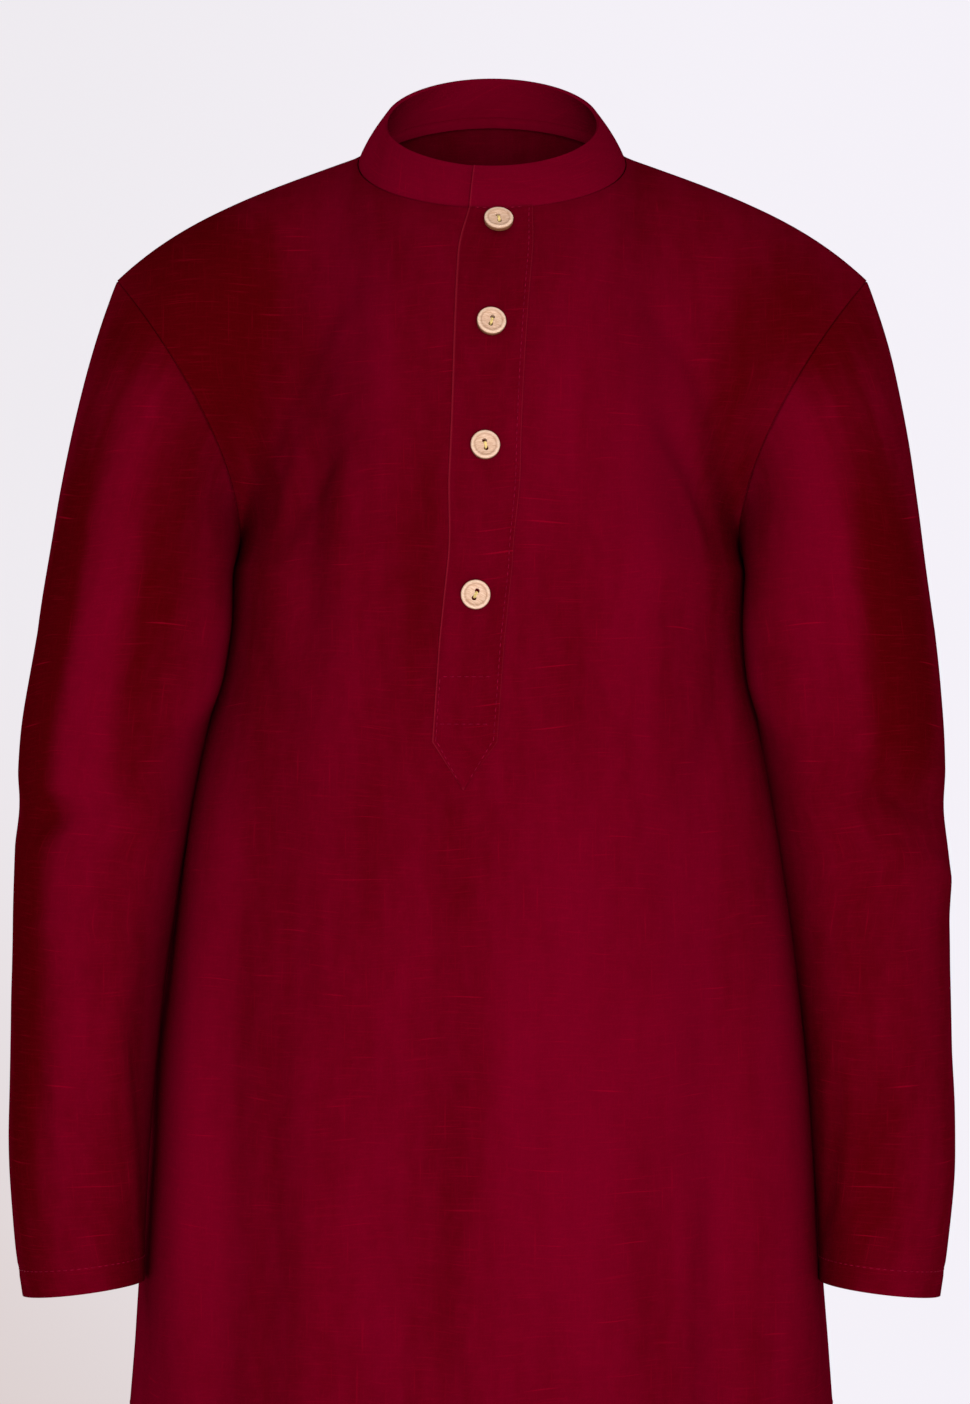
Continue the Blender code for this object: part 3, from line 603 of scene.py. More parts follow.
def draw_back_ridge(points, face, rows):
    """Leave room between the walls at the shoulder ridge and the neckline."""
    down = points[4] - points[0]
    down /= np.linalg.norm(down, axis=1, keepdims=True)
    ridge = SEAM_GAP / 2 - CLOTH_WALL * down[:, 2] / np.maximum(np.abs(down[:, 1]), 0.2)
    columns = panel_columns[face]
    neck = (columns > SHOULDER_COLUMNS) & (columns < LAST_COLUMN[face] - SHOULDER_COLUMNS)
    ridge[neck] = 0.0001
    fade = np.clip(1.0 - rows, 0.0, 1.0)
    return points + down[None] * ridge[None, :, None] * fade[:, None, None]


def soften_corners(points, rows):
    """Spread the corner where shoulder and neckline meet, so that it doesn't run down the chest."""
    reach = 3 * CORNER_COLUMNS
    ahead, behind = points[:, 1:reach + 1][:, ::-1], points[:, -reach - 1:-1][:, ::-1]
    padded = np.concatenate([2 * points[:, :1] - ahead, points, 2 * points[:, -1:] - behind], axis=1)
    weights = np.exp(-0.5 * (np.arange(-reach, reach + 1) / CORNER_COLUMNS) ** 2)
    weights /= weights.sum()
    spread = sum(weight * padded[:, index:index + points.shape[1]] for index, weight in enumerate(weights))
    share = smooth_step(rows / 2.5) * (1.0 - smooth_step((rows - YOKE_ROWS + 2.0) / 2.0))
    return points + (spread - points) * share[:, None, None]


def drift(across, down):
    """Places on the cloth whose crosswise yarns wander a little up and down."""
    wander = 0.0014 * np.sin(46.0 * across + 21.0 * down) + 0.0006 * np.sin(117.0 * across - 38.0 * down)
    return np.stack([across, down + wander], axis=2)


def straight_grain(points, across, downwards, columns):
    """Places on the flat cloth: above the chest its yarns run level and upright, as they were cut."""
    drop = -points[:, :, 2]
    shoulder = int(np.argmin(np.abs(columns - SHOULDER_COLUMNS / 2)))
    down = np.interp(drop, drop[:, shoulder], downwards[:, shoulder])
    down -= 1.5 * np.maximum(drop[0, shoulder] - drop, 0.0)
    chest = smooth_step((drop - 0.5 * CHEST_DROP) / (0.5 * CHEST_DROP))
    return drift(points[:, :, 0] * (1.0 - chest) + across * chest, down)


def shape_panel(face):
    """A panel's finished points, with its normals and the places of its cloth."""
    rows, columns = panel_rows, panel_columns[face]
    points = draw_back_ridge(panel_points(face, rows, columns), face, rows)
    points = soften_corners(points, rows)
    normals = grid_normals(points, points * np.array([1.0, 1.0, 0.0]))
    sideways, downwards = lengths_along(points, 1), lengths_along(points, 0)
    middles = np.array([np.interp(0.0, points[row, :, 0], sideways[row]) for row in range(len(rows))])
    across, drop = sideways - middles[:, None], -points[:, :, 2]
    side_distance = np.minimum(sideways, sideways[:, -1:] - sideways)
    fade = smooth_step(side_distance / FOLD_FADE)
    folds = [fold for fold in BODY_FOLDS if fold[0] == face]
    creases = [crease for crease in BODY_CREASES if crease[0] == face]
    height = (fold_heights(folds, across, drop) + waviness(points)) * fade
    height += crease_heights(creases, across, drop) * smooth_step(side_distance / 0.012)
    height *= smooth_step(downwards / 0.010)
    sewn = np.where((drop > CHEST_DROP) & (drop < SLIT_DROP), side_distance, 1.0)
    shoulder = (columns < SHOULDER_COLUMNS) | (columns > LAST_COLUMN[face] - SHOULDER_COLUMNS)
    height += groove(np.minimum(sewn, np.where(shoulder[None], downwards, 1.0)))
    height -= HEM_DENT * hump((HEM_DROP - HEM_FOLD - drop) / 0.0016)
    points = points + normals * height[:, :, None]
    normals = grid_normals(points, points * np.array([1.0, 1.0, 0.0]))
    return {"points": points, "normals": normals, "rows": rows, "columns": columns,
            "cloth": straight_grain(points, across, downwards, columns),
            "tone_and_painted_shading": tone_and_shading_depth(face, points[:, :, 0], drop)}


def on_panel(face, row, column, lift=0.0):
    """A point on a panel at any row and column, moved out by lift, and its normal."""
    panel = panels[face]
    i = float(np.interp(row, panel["rows"], np.arange(len(panel["rows"]))))
    j = float(np.interp(column, panel["columns"], np.arange(len(panel["columns"]))))
    i0, j0 = min(int(i), len(panel["rows"]) - 2), min(int(j), len(panel["columns"]) - 2)
    a, b = i - i0, j - j0
    shares = ((0, 0, (1 - a) * (1 - b)), (0, 1, (1 - a) * b), (1, 0, a * (1 - b)), (1, 1, a * b))
    point = sum(panel["points"][i0 + di, j0 + dj] * share for di, dj, share in shares)
    normal = sum(panel["normals"][i0 + di, j0 + dj] * share for di, dj, share in shares)
    normal = normal / np.linalg.norm(normal)
    return point + normal * lift, normal


panels = {face: shape_panel(face) for face in ("front", "back")}
print({face: panel["points"].shape for face, panel in panels.items()})

# %% [markdown]
# ## The sleeves
# A sleeve hangs from the armhole down to the cuff. Its edge is turned in a few millimetres under the
# front and back, as a seam allowance is. Its creases gather at the armpit and the elbow.

# %% Creases of the sleeves
# sleeve, from_around, from_drop, to_around, to_drop, bend, half_width, height
# around is metres of cloth from the sleeve's outer side, through its front
SLEEVE_CREASES = [
    ("left", 0.030, 0.300, 0.110, 0.262, 0.006, 0.010, -0.0022),
    ("left", 0.000, 0.330, 0.090, 0.310, 0.006, 0.009, 0.0014),
    ("left", 0.020, 0.356, 0.105, 0.328, -0.006, 0.010, -0.0016),
    ("left", 0.140, 0.196, 0.142, 0.290, 0.000, 0.030, 0.0008),
    ("left", 0.046, 0.380, 0.052, 0.480, 0.004, 0.010, 0.0012),
    ("left", 0.080, 0.390, 0.090, 0.495, -0.004, 0.009, -0.0014),
    ("left", 0.160, 0.210, 0.230, 0.262, 0.010, 0.011, -0.0018),
    ("left", 0.170, 0.290, 0.240, 0.310, -0.008, 0.010, -0.0016),
    ("left", 0.200, 0.340, 0.210, 0.480, 0.006, 0.011, 0.0012),
    ("right", 0.010, 0.304, 0.116, 0.264, -0.004, 0.013, -0.0034),
    ("right", 0.012, 0.346, 0.096, 0.330, -0.005, 0.009, 0.0013),
    ("right", 0.034, 0.372, 0.110, 0.350, 0.005, 0.010, -0.0014),
    ("right", 0.142, 0.196, 0.142, 0.290, 0.000, 0.030, 0.0008),
    ("right", 0.040, 0.390, 0.050, 0.490, -0.004, 0.010, -0.0012),
    ("right", 0.076, 0.380, 0.084, 0.490, 0.004, 0.010, 0.0011),
    ("right", 0.150, 0.220, 0.226, 0.250, -0.008, 0.011, -0.0016),
    ("right", 0.176, 0.300, 0.236, 0.336, 0.008, 0.010, -0.0018),
    ("right", 0.210, 0.350, 0.204, 0.490, -0.006, 0.011, 0.0012),
]
print("Creases of the sleeves:", len(SLEEVE_CREASES))

# %% [markdown]
# The cap follows Hermite curves from the armhole to the first ring. The inner side then has to meet the
# body, as cloth lies on cloth. Rays find the body: near the armpit the sleeve is laid just off it, and
# lower down it hangs free and may press in by a millimetre at most.

# %% Shape the sleeves
ARMHOLE_GAP = 0.0001
BODY_CLEARANCE, BODY_PRESS = 0.0007, 0.0010    # off the body near the armpit, pressed in lower down
LAID_TO, LAID_FADE, PRESS_TO = 0.235, 0.040, 0.480          # drops
ABOVE_FADE = 0.035          # how far above the armpit's level the moves die away
INNER_SPAN = 80             # degrees to each side of the sleeve's inner side that may touch the body
TUCK = CLOTH_WALL + 0.0002  # how deep the sleeve's edge lies under the panels
AROUND = 120                # points around a sleeve
INNER_FULLNESS = 0.0075     # how far the cloth stands forward where the sleeve meets the body
FULL_ANGLE, FULL_SPAN = 140, 62                # degrees round the sleeve
FULL_FADE_IN, FULL_TO, FULL_FADE_OUT = 0.040, 0.460, 0.045
CUFF_FOLD = 0.012
HEAD_ROWS, HEAD_EASE = 7, 1.3
head_rows = fine_steps(0, HEAD_ROWS, 36, near_first=(0.008, 0.018, 0.03, 0.06, 0.12))
sleeve_drops = fine_steps(SLEEVE_ROWS[0][0], SLEEVE_ROWS[-1][0], 104, near_last=(0.0006, 0.0014))[1:]


def armhole_places():
    """Each place round an armhole: its step, its panel and its row there."""
    for step in np.arange(AROUND) * 2 * YOKE_ROWS / AROUND:
        yield (step, "front", step) if step <= YOKE_ROWS else (step, "back", 2 * YOKE_ROWS - step)


def armhole_loop(side):
    """The armhole's points from the shoulder tip down the front and up the back."""
    column = -1 if side > 0 else 0
    loop = []
    for _, face, row in armhole_places():
        edge = panels[face]["points"][:, column]
        loop.append([np.interp(row, panel_rows, edge[:, axis]) for axis in range(3)])
    loop = np.array(loop)
    loop[0, 1] = 0.0
    return loop


def sleeve_fold_heights(name, drop, degrees):
    """The height of one sleeve's broad folds."""
    height = np.zeros_like(degrees)
    for sleeve, middle, around, half_height, half_angle, rise, slant in SLEEVE_FOLDS:
        if sleeve == name:
            turn = (degrees - around + 180) % 360 - 180
            height += rise * hump((drop - middle - slant * turn) / half_height) * hump(turn / half_angle)
    return height


def sleeve_ring(side, drop):
    """A ring of the sleeve below the armpit, with its broad folds."""
    inner, outer, depth, centre_y = (curve_at(SLEEVE_ROWS, drop, k) for k in range(1, 5))
    centre_x, half_width = (inner + outer) / 2, (outer - inner) / 2
    angle = 2 * math.pi * np.arange(AROUND) / AROUND
    swell = sleeve_fold_heights("left" if side > 0 else "right", drop, np.degrees(angle))
    cuff = smooth_step((drop - SLEEVE_ROWS[-1][0]) / CUFF_TILT_LENGTH + 1.0) * CUFF_TILT
    x = side * (centre_x + (half_width + swell) * np.cos(angle)) + lean_at(drop)
    y = centre_y - (depth + swell) * np.sin(angle)
    length = smooth_step((drop - SLEEVE_ROWS[0][0]) / FULL_FADE_IN)
    length *= 1.0 - smooth_step((drop - FULL_TO) / FULL_FADE_OUT)
    y -= INNER_FULLNESS * length * hump((np.degrees(angle) - FULL_ANGLE) / FULL_SPAN)
    return np.stack([x, y, -drop - cuff * np.cos(angle)], axis=1)


def sleeve_head(side, loop, bicep):
    """The sleeve's cap, from the armhole to its first ring."""
    angle = 2 * math.pi * np.arange(AROUND) / AROUND
    cosine, sine = np.cos(angle), np.sin(angle)
    outwards = HEAD_LEAVE_X[0] + HEAD_LEAVE_X[1] * cosine + HEAD_LEAVE_X[2] * sine ** 2
    leave = np.stack([side * outwards, HEAD_LEAVE_Y * sine, HEAD_LEAVE_Z[0] + HEAD_LEAVE_Z[1] * cosine], 1)
    arrive = np.stack([side * HEAD_ARRIVE_X * (1.0 + cosine), 0 * sine,
                       HEAD_ARRIVE_Z[0] + HEAD_ARRIVE_Z[1] * cosine], 1)
    start = loop + leave / np.linalg.norm(leave, axis=1, keepdims=True) * ARMHOLE_GAP
    return [hermite(start, leave, bicep, arrive, (row / HEAD_ROWS) ** HEAD_EASE) for row in head_rows]


def seam_allowance(side, inwards):
    """The sleeve's edge that is turned in under the panels, this far from the armhole."""
    ring = []
    for step, face, row in armhole_places():
        column = LAST_COLUMN[face] - inwards if side > 0 else inwards
        sides = ["front", "back"] if step == 0 else [face]
        ring.append(np.mean([on_panel(name, row, column, -TUCK)[0] for name in sides], axis=0))
    return np.array(ring)


def grid_surface(grids):
    """The surface of some grids, for finding points on it with rays."""
    vertices, quads = [], []
    for points in grids:
        high, wide = points.shape[:2]
        first = len(vertices)
        vertices += [tuple(point) for point in points.reshape(-1, 3)]
        quads += [(first + r * wide + c, first + r * wide + c + 1, first + (r + 1) * wide + c + 1,
                   first + (r + 1) * wide + c) for r in range(high - 1) for c in range(wide - 1)]
    return BVHTree.FromPolygons(vertices, quads)


def lay_against_body(points, side):
    """Lay the sleeve's inner side on the body near the armpit, and keep it from pressing in below."""
    angle = np.degrees(2 * math.pi * np.arange(AROUND) / AROUND)
    inner_side = np.flatnonzero(np.abs(angle - 180) < INNER_SPAN)
    drops, moves = -points[:, :, 2], np.zeros(points.shape[:2])
    for level in range(1, len(points)):
        for index in inner_side:
            drop = drops[level, index]
            if not CHEST_DROP < drop < PRESS_TO:
                continue
            x, y, z = points[level, index]
            hit = body.ray_cast(Vector((side * 0.4, y, z)), Vector((-side, 0.0, 0.0)))[0]
            if hit is None:
                continue
            snug = 1.0 - float(smooth_step((drop - LAID_TO) / LAID_FADE))
            air = side * (x - hit.x) - BODY_CLEARANCE * snug + BODY_PRESS * (1.0 - snug)
            share = float(hump((angle[index] - 180) / INNER_SPAN)) * snug
            moves[level, index] = air * share if air > 0 else air
    above = smooth_step((CHEST_DROP - drops) / ABOVE_FADE)
    for index in inner_side:
        first = int(np.argmax(drops[:, index] > CHEST_DROP))
        ease = (1.0 - above[:first, index]) * smooth_step(np.arange(first) / (first + 1.0) / 0.6)
        moves[:first, index] = moves[first, index] * ease
    points[:, :, 0] -= side * moves
    return points


def measure_tube(points):
    """A tube's normals, its lengths round and down, and its drops, with its first column repeated."""
    normals = grid_normals(points, points - points.mean(axis=1, keepdims=True), tube=True)
    closed = np.concatenate([points, points[:, :1]], axis=1)
    return normals, lengths_along(closed, 1), lengths_along(closed, 0), -closed[:, :, 2]


def shape_sleeve(side):
    """One sleeve's finished points."""
    name = "left" if side > 0 else "right"
    bicep = sleeve_ring(side, SLEEVE_ROWS[0][0])
    points = np.array(sleeve_head(side, armhole_loop(side), bicep)
                      + [sleeve_ring(side, drop) for drop in sleeve_drops])
    normals, around, downwards, _ = measure_tube(points)
    relief = waviness(points) * 0.8 + crease_heights(
        [crease for crease in SLEEVE_CREASES if crease[0] == name], around[:, :-1], -points[:, :, 2])
    relief *= smooth_step(downwards[:, :-1] / 0.012)
    height = relief - TUCK * (1.0 - smooth_step(downwards[:, :-1] / 0.0007))
    to_cuff = downwards[-1:, :-1] - downwards[:, :-1]
    height -= HEM_DENT * hump((to_cuff - CUFF_FOLD) / 0.0020)
    points = lay_against_body(points + normals * height[:, :, None], side)
    allowance = [seam_allowance(side, inwards) for inwards in (0.30, 0.16, 0.03)]
    points = np.concatenate([allowance, points])
    normals, around, _, drop = measure_tube(points)
    return {"points": points, "normals": normals, "cloth": drift(around, drop),
            "tone_and_painted_shading": tone_and_shading_depth(name, around[:, :-1], drop[:, :-1])}


body = grid_surface([panel["points"] for panel in panels.values()])
sleeves = {"left": shape_sleeve(1), "right": shape_sleeve(-1)}
print({name: sleeve["points"].shape for name, sleeve in sleeves.items()})

# %% [markdown]
# ## The collar
# The stand collar is a strip that starts under the lap at the front, goes round the neck and ends lapped
# over its own beginning. Its lower edge is turned in under the neckline.

# %% Shape the collar
TOP_HALF_WIDTH, TOP_SIDE_RISE, TOP_END = 0.0485, 0.0150, (0.0500, 0.0250)
COLLAR_BULGE, COLLAR_LAP_GAP = 0.0010, 0.0006
COLLAR_BACK = (8, 18)       # where the collar passes the shoulders


def collar_top(angle):
    """A point of the collar's top edge, above the neckline at the same angle."""
    return dipping_ring(angle, TOP_HALF_WIDTH, TOP_END, TOP_END, TOP_SIDE_RISE)


def collar_angle(place):
    """The neckline's angle at a place along the collar, which is as many columns long as the front."""
    if place <= COLLAR_BACK[0]:
        return neck_angle("front", PLACKET_MIDDLE - place)
    if place <= COLLAR_BACK[1]:
        return neck_angle("back", place - COLLAR_BACK[0] + SHOULDER_COLUMNS)
    return neck_angle("front", FRONT_NECK_END - (place - COLLAR_BACK[1]))


def shape_collar(places, ups):
    """The collar's points: ups is 0 at the neckline and 1 at the top edge; below 0 is turned in."""
    rows = []
    for up in ups:
        line = []
        for place in places:
            angle = collar_angle(place)
            base, top = neckline(angle), collar_top(angle)
            outwards = np.array([math.sin(angle), -math.cos(angle), 0.0])
            rise = (top - base) / np.linalg.norm(top - base)
            tuck = 1.0 - float(smooth_step((place - 2) / 3.0))
            above, under = max(up, 0.0), max(-up, 0.0)
            point = base + rise * SEAM_GAP + (top - base) * above
            point = point + outwards * COLLAR_BULGE * math.sin(math.pi * above)
            turned_in = 0.0014 * float(smooth_step(under / 0.06))
            point = point - outwards * turned_in - np.array([0, 0, under * 0.03])
            turned = float(groove(np.linalg.norm(top - base) * above)) * 0.6
            line.append(point - outwards * (tuck * (COLLAR_WALL + COLLAR_LAP_GAP) - turned))
        rows.append(line)
    points = np.array(rows)
    outwards = points - points.mean(axis=(0, 1))
    outwards[:, :, 2] = 0.0
    cloth = np.stack([lengths_along(points, 1), -lengths_along(points, 0)], axis=2)
    # A painted highlight along the collar's lapped end.
    edge = np.zeros(points.shape[:2])
    edge[:, -2:] = 1.0
    return {"points": points, "normals": grid_normals(points, outwards), "cloth": cloth,
            "tone_and_painted_shading": np.full(points.shape[:2], COLLAR_DYE), "edge": edge}


collar_ups = np.concatenate([[-0.16, -0.10, -0.06, -0.03],
                             fine_steps(0, 1, 16, near_first=(0.02, 0.04), near_last=(0.02,))])
collar_places = fine_steps(0, LAST_COLUMN["front"], 210, near_first=(0.03,), near_last=(0.03,))
collar = shape_collar(collar_places, collar_ups)
print("Collar grid:", collar["points"].shape)

# %% [markdown]
# ## The placket
# The placket is a strip sewn on the front, so it is made from the front's own points, moved out. Its
# lower end comes to a point. Its outer edge is stitched down flat and its free edge stands up a little.

# %% Shape the placket
PLACKET_LIFT = SEAM_GAP + PLACKET_WALL


def shape_placket():
    """The placket's points, from the neckline to its tip."""
    rows = fine_steps(0, TIP_ROW, 118, near_first=(0.03, 0.07))
    rows = np.concatenate([rows, fine_steps(TIP_ROW, SKIRT_ROW, 14)[1:]])
    points = []
    for row in rows:
        narrow = 1.0 - max(row - TIP_ROW, 0.0)
        line = []
        for share in fine_steps(-1, 1, 22, near_first=(0.03, 0.06), near_last=(0.03, 0.06)):
            column = PLACKET_MIDDLE + 2 * share * max(narrow, 0.02)
            edge = 1.0 - smooth_step((1.0 - abs(share)) * 0.014 / 0.0022)
            lift = PLACKET_LIFT - 0.00035 * float(edge)
            lift += float(groove((row + 0.001) * 0.012)) * 0.5
            line.append(on_panel("front", max(row, 0.02), column, lift)[0])
        points.append(line)
    points = np.array(points)
    cloth = np.stack([lengths_along(points, 1), lengths_along(points, 0)], axis=2)
    # A painted highlight round the placket's edges.
    edge = np.zeros(points.shape[:2])
    edge[:, :2] = edge[:, -1:] = edge[:2] = edge[-1:] = 1.0
    return {"points": points, "normals": grid_normals(points, points * np.array([1.0, 1.0, 0.0])),
            "cloth": cloth, "tone_and_painted_shading": np.full(points.shape[:2], EVEN_DYE), "edge": edge}


placket = shape_placket()
print("Placket grid:", placket["points"].shape)

# %% [markdown]
# ## Materials
# The cloth is a plain weave with slubs: short thick places in the yarn that show as fine lighter lines,
# lengthwise and crosswise. Its texture coordinates are metres of cloth, so yarns follow every fold.

# %% Helpers for node materials
def new_material(name):
    """An empty node material with a Principled shader."""
    material = bpy.data.materials.new(name)
    material.use_nodes = True
    return material, material.node_tree, material.node_tree.nodes["Principled BSDF"]


def add_node(tree, kind, **settings):
    """A node, with its settings and the values of its sockets."""
    node = tree.nodes.new(kind)
    for key, value in settings.items():
        if key in node.inputs:
            node.inputs[key].default_value = value
        else:
            setattr(node, key, value)
    return node


def stretched_noise(tree, place, stretch, detail=2.0, roughness=0.5, offset=(0.0, 0.0, 0.0)):
    """Noise with its own scale along each direction of the cloth."""
    mapping = add_node(tree, "ShaderNodeMapping", Scale=stretch, Location=offset)
    tree.links.new(place, mapping.inputs["Vector"])
    texture = add_node(tree, "ShaderNodeTexNoise", Scale=1.0, Detail=detail, Roughness=roughness)
    tree.links.new(mapping.outputs["Vector"], texture.inputs["Vector"])
    return texture.outputs["Fac"]


def between(tree, value, low, high):
    """0 below low, 1 above high."""
    node = add_node(tree, "ShaderNodeMapRange", interpolation_type="SMOOTHSTEP")
    node.inputs["From Min"].default_value = low
    node.inputs["From Max"].default_value = high
    tree.links.new(value, node.inputs["Value"])
    return node.outputs["Result"]


def calculate(tree, operation, first, second):
    """One sum on two values, which may be numbers or sockets."""
    node = add_node(tree, "ShaderNodeMath", operation=operation)
    for socket, value in zip(node.inputs, (first, second)):
        if isinstance(value, (int, float)):
            socket.default_value = value
        else:
            tree.links.new(value, socket)
    return node.outputs["Value"]


def blend_colours(tree, share, first, second):
    """A mix of two colours, which may be colours or sockets."""
    node = add_node(tree, "ShaderNodeMix", data_type="RGBA")
    sockets = [socket for socket in node.inputs if socket.type == "RGBA"]
    for socket, value in zip(sockets, (first, second)):
        if isinstance(value, tuple):
            socket.default_value = value
        else:
            tree.links.new(value, socket)
    tree.links.new(share, node.inputs["Factor"])
    return [socket for socket in node.outputs if socket.type == "RGBA"][0]


print("Materials before the first one:", len(bpy.data.materials))

# %% [markdown]
# Slubs are thick, soft places in the yarn that take up less dye. A picture of cloth would repeat, so they
# are noise drawn out along the yarns, of which only the peaks show. A fine relief gives the weave.

# %% The slub cotton
BAND_SHARE, EDGE_HIGHLIGHT_SHARE, SLUB_RELIEF = 0.75, 0.22, 0.9
TONE_AND_SHADING_RANGE = (0.18, 1.00)
# DEEP_RED and CRIMSON also serve the painted shading: DEEP_RED for painted shade, CRIMSON for painted
# light.
DEEP_RED = (0.052, 0.00016, 0.0012, 1.0)
CRIMSON = (0.112, 0.00030, 0.0082, 1.0)
SLUB_RED = (0.235, 0.00060, 0.0115, 1.0)
# The next red is a painted highlight for folded edges.
EDGE_HIGHLIGHT_RED = (0.290, 0.0160, 0.0300, 1.0)
# stretch across and along the cloth (per metre), low, high, strength, seed
SLUBS = [
    ((26.0, 800.0, 1.0), 0.68, 0.82, 0.42, 0.0),
    ((48.0, 1100.0, 1.0), 0.58, 0.82, 0.18, 5.0),
    ((90.0, 1300.0, 1.0), 0.50, 0.82, 0.10, 21.0),
    ((850.0, 34.0, 1.0), 0.64, 0.82, 0.18, 9.0),
    ((1200.0, 70.0, 1.0), 0.54, 0.82, 0.08, 14.0),
]


def make_cloth(name):
    """Deep red slub cotton."""
    material, tree, shader = new_material(name)
    place = add_node(tree, "ShaderNodeUVMap", uv_map="cloth").outputs["UV"]
    tone_and_painted_shading = add_node(tree, "ShaderNodeAttribute", attribute_name="tone_and_painted_shading").outputs["Fac"]
    bands = stretched_noise(tree, place, (34.0, 7.0, 1.0), detail=3.0, roughness=0.6)
    mottle = stretched_noise(tree, place, (160.0, 90.0, 1.0), detail=3.0, roughness=0.6,
                             offset=(2.0, 6.0, 0.0))
    uneven = calculate(tree, "ADD", calculate(tree, "MULTIPLY", bands, BAND_SHARE),
                       calculate(tree, "MULTIPLY", mottle, 1.0 - BAND_SHARE))
    # The random tone and the painted shading together pick between DEEP_RED, for painted shade, and
    # CRIMSON, for painted light.
    bright = calculate(tree, "SUBTRACT", calculate(tree, "ADD", uneven, 0.5), tone_and_painted_shading)
    colour = blend_colours(tree, between(tree, bright, *TONE_AND_SHADING_RANGE), DEEP_RED, CRIMSON)
    slubs = 0.0
    for stretch, low, high, strength, seed in SLUBS:
        lines = stretched_noise(tree, place, stretch, detail=1.0, offset=(seed, seed * 3, 0.0))
        lines = calculate(tree, "MULTIPLY", between(tree, lines, low, high), strength)
        slubs = calculate(tree, "MAXIMUM", lines, slubs)
    colour = blend_colours(tree, slubs, colour, SLUB_RED)
    # A thin painted highlight along the folded edges of the collar and placket.
    edge = add_node(tree, "ShaderNodeAttribute", attribute_name="edge").outputs["Fac"]
    colour = blend_colours(tree, calculate(tree, "MULTIPLY", edge, EDGE_HIGHLIGHT_SHARE), colour, EDGE_HIGHLIGHT_RED)
    tree.links.new(colour, shader.inputs["Base Color"])
    weft = stretched_noise(tree, place, (140.0, 2300.0, 1.0), detail=1.0)
    warp = stretched_noise(tree, place, (2300.0, 140.0, 1.0), detail=1.0, offset=(7.0, 3.0, 0.0))
    weave = calculate(tree, "ADD", calculate(tree, "ADD", weft, warp),
                      calculate(tree, "MULTIPLY", slubs, SLUB_RELIEF))
    relief = add_node(tree, "ShaderNodeBump", Strength=0.28, Distance=0.0004)
    tree.links.new(weave, relief.inputs["Height"])
    tree.links.new(relief.outputs["Normal"], shader.inputs["Normal"])
    shader.inputs["Roughness"].default_value = 0.9
    shader.inputs["Specular IOR Level"].default_value = 0.0
    return material


def make_thread(name, colour, sheen):
    """Twisted sewing thread."""
    material, tree, shader = new_material(name)
    place = add_node(tree, "ShaderNodeTexCoord").outputs["Object"]
    twist = stretched_noise(tree, place, (900.0, 900.0, 900.0), detail=1.0)
    darker = tuple(part * 0.62 for part in colour[:3]) + (1.0,)
    tree.links.new(blend_colours(tree, between(tree, twist, 0.35, 0.65), darker, colour),
                   shader.inputs["Base Color"])
    shader.inputs["Roughness"].default_value = 0.7
    shader.inputs["Specular IOR Level"].default_value = sheen
    return material


cloth_material = make_cloth("slub_cotton")
red_thread = make_thread("red_thread", (0.200, 0.0015, 0.0180, 1.0), 0.03)
cream_thread = make_thread("cream_thread", (0.72, 0.55, 0.20, 1.0), 0.2)
print("Materials:", [material.name for material in bpy.data.materials])

# %% [markdown]
# The buttons are turned from pale wood. Growth rings and fine pores come from stretched noise in the
# button's own coordinates. The top of the rim is paler, and the side and the rim's inner slope are darker.

# %% The wood
PALE_GRAIN, DARK_GRAIN = (0.58, 0.395, 0.285, 1.0), (0.44, 0.262, 0.168, 1.0)
PORE_BROWN, SIDE_BROWN = (0.20, 0.105, 0.048, 1.0), (0.14, 0.052, 0.020, 1.0)
PALE_RIM = (0.68, 0.50, 0.38, 1.0)


def make_wood(name):
    """Pale turned wood with fine grain."""
    material, tree, shader = new_material(name)
    place = add_node(tree, "ShaderNodeUVMap", uv_map="wood").outputs["UV"]
    grain = stretched_noise(tree, place, (260.0, 1500.0, 1.0), detail=3.0, roughness=0.65)
    pores = stretched_noise(tree, place, (700.0, 5200.0, 1.0), detail=2.0, offset=(3.0, 8.0, 0.0))
    colour = blend_colours(tree, between(tree, grain, 0.34, 0.66), DARK_GRAIN, PALE_GRAIN)
    pore_share = calculate(tree, "MULTIPLY", between(tree, pores, 0.60, 0.76), 0.45)
    colour = blend_colours(tree, pore_share, colour, PORE_BROWN)
    side = add_node(tree, "ShaderNodeAttribute", attribute_name="side").outputs["Fac"]
    colour = blend_colours(tree, side, colour, SIDE_BROWN)
    rim = add_node(tree, "ShaderNodeAttribute", attribute_name="rim").outputs["Fac"]
    colour = blend_colours(tree, calculate(tree, "MULTIPLY", rim, 0.55), colour, PALE_RIM)
    tree.links.new(colour, shader.inputs["Base Color"])
    relief = add_node(tree, "ShaderNodeBump", Strength=0.25, Distance=0.0002)
    tree.links.new(grain, relief.inputs["Height"])
    tree.links.new(relief.outputs["Normal"], shader.inputs["Normal"])
    shader.inputs["Roughness"].default_value = 0.55
    shader.inputs["Specular IOR Level"].default_value = 0.3
    return material


wood_material = make_wood("turned_wood")
print("Nodes of the wood:", len(wood_material.node_tree.nodes))

# %% [markdown]
# ## From points to cloth
# Each grid becomes one sheet of quads. A cloth simulation could drape it, but the worn shape is known, so
# the sheet is laid in place at once. A Solidify modifier grows the wall inwards and a Bevel rounds the
# cut edges.

# %% Meshes and objects
def to_mesh(name, work):
    """A mesh of what was modelled in work."""
    mesh = bpy.data.meshes.new(name)
    work.to_mesh(mesh)
    work.free()
    return mesh


def add_object(name, mesh):
    """An object in the scene that shows a mesh."""
    piece = bpy.data.objects.new(name, mesh)
    bpy.context.scene.collection.objects.link(piece)
    return piece


# %% [markdown]
# The front, the back, both sleeves, the collar and the placket are each one piece of cloth, as they were
# cut, and each stands for the CAD solid of the same cut.

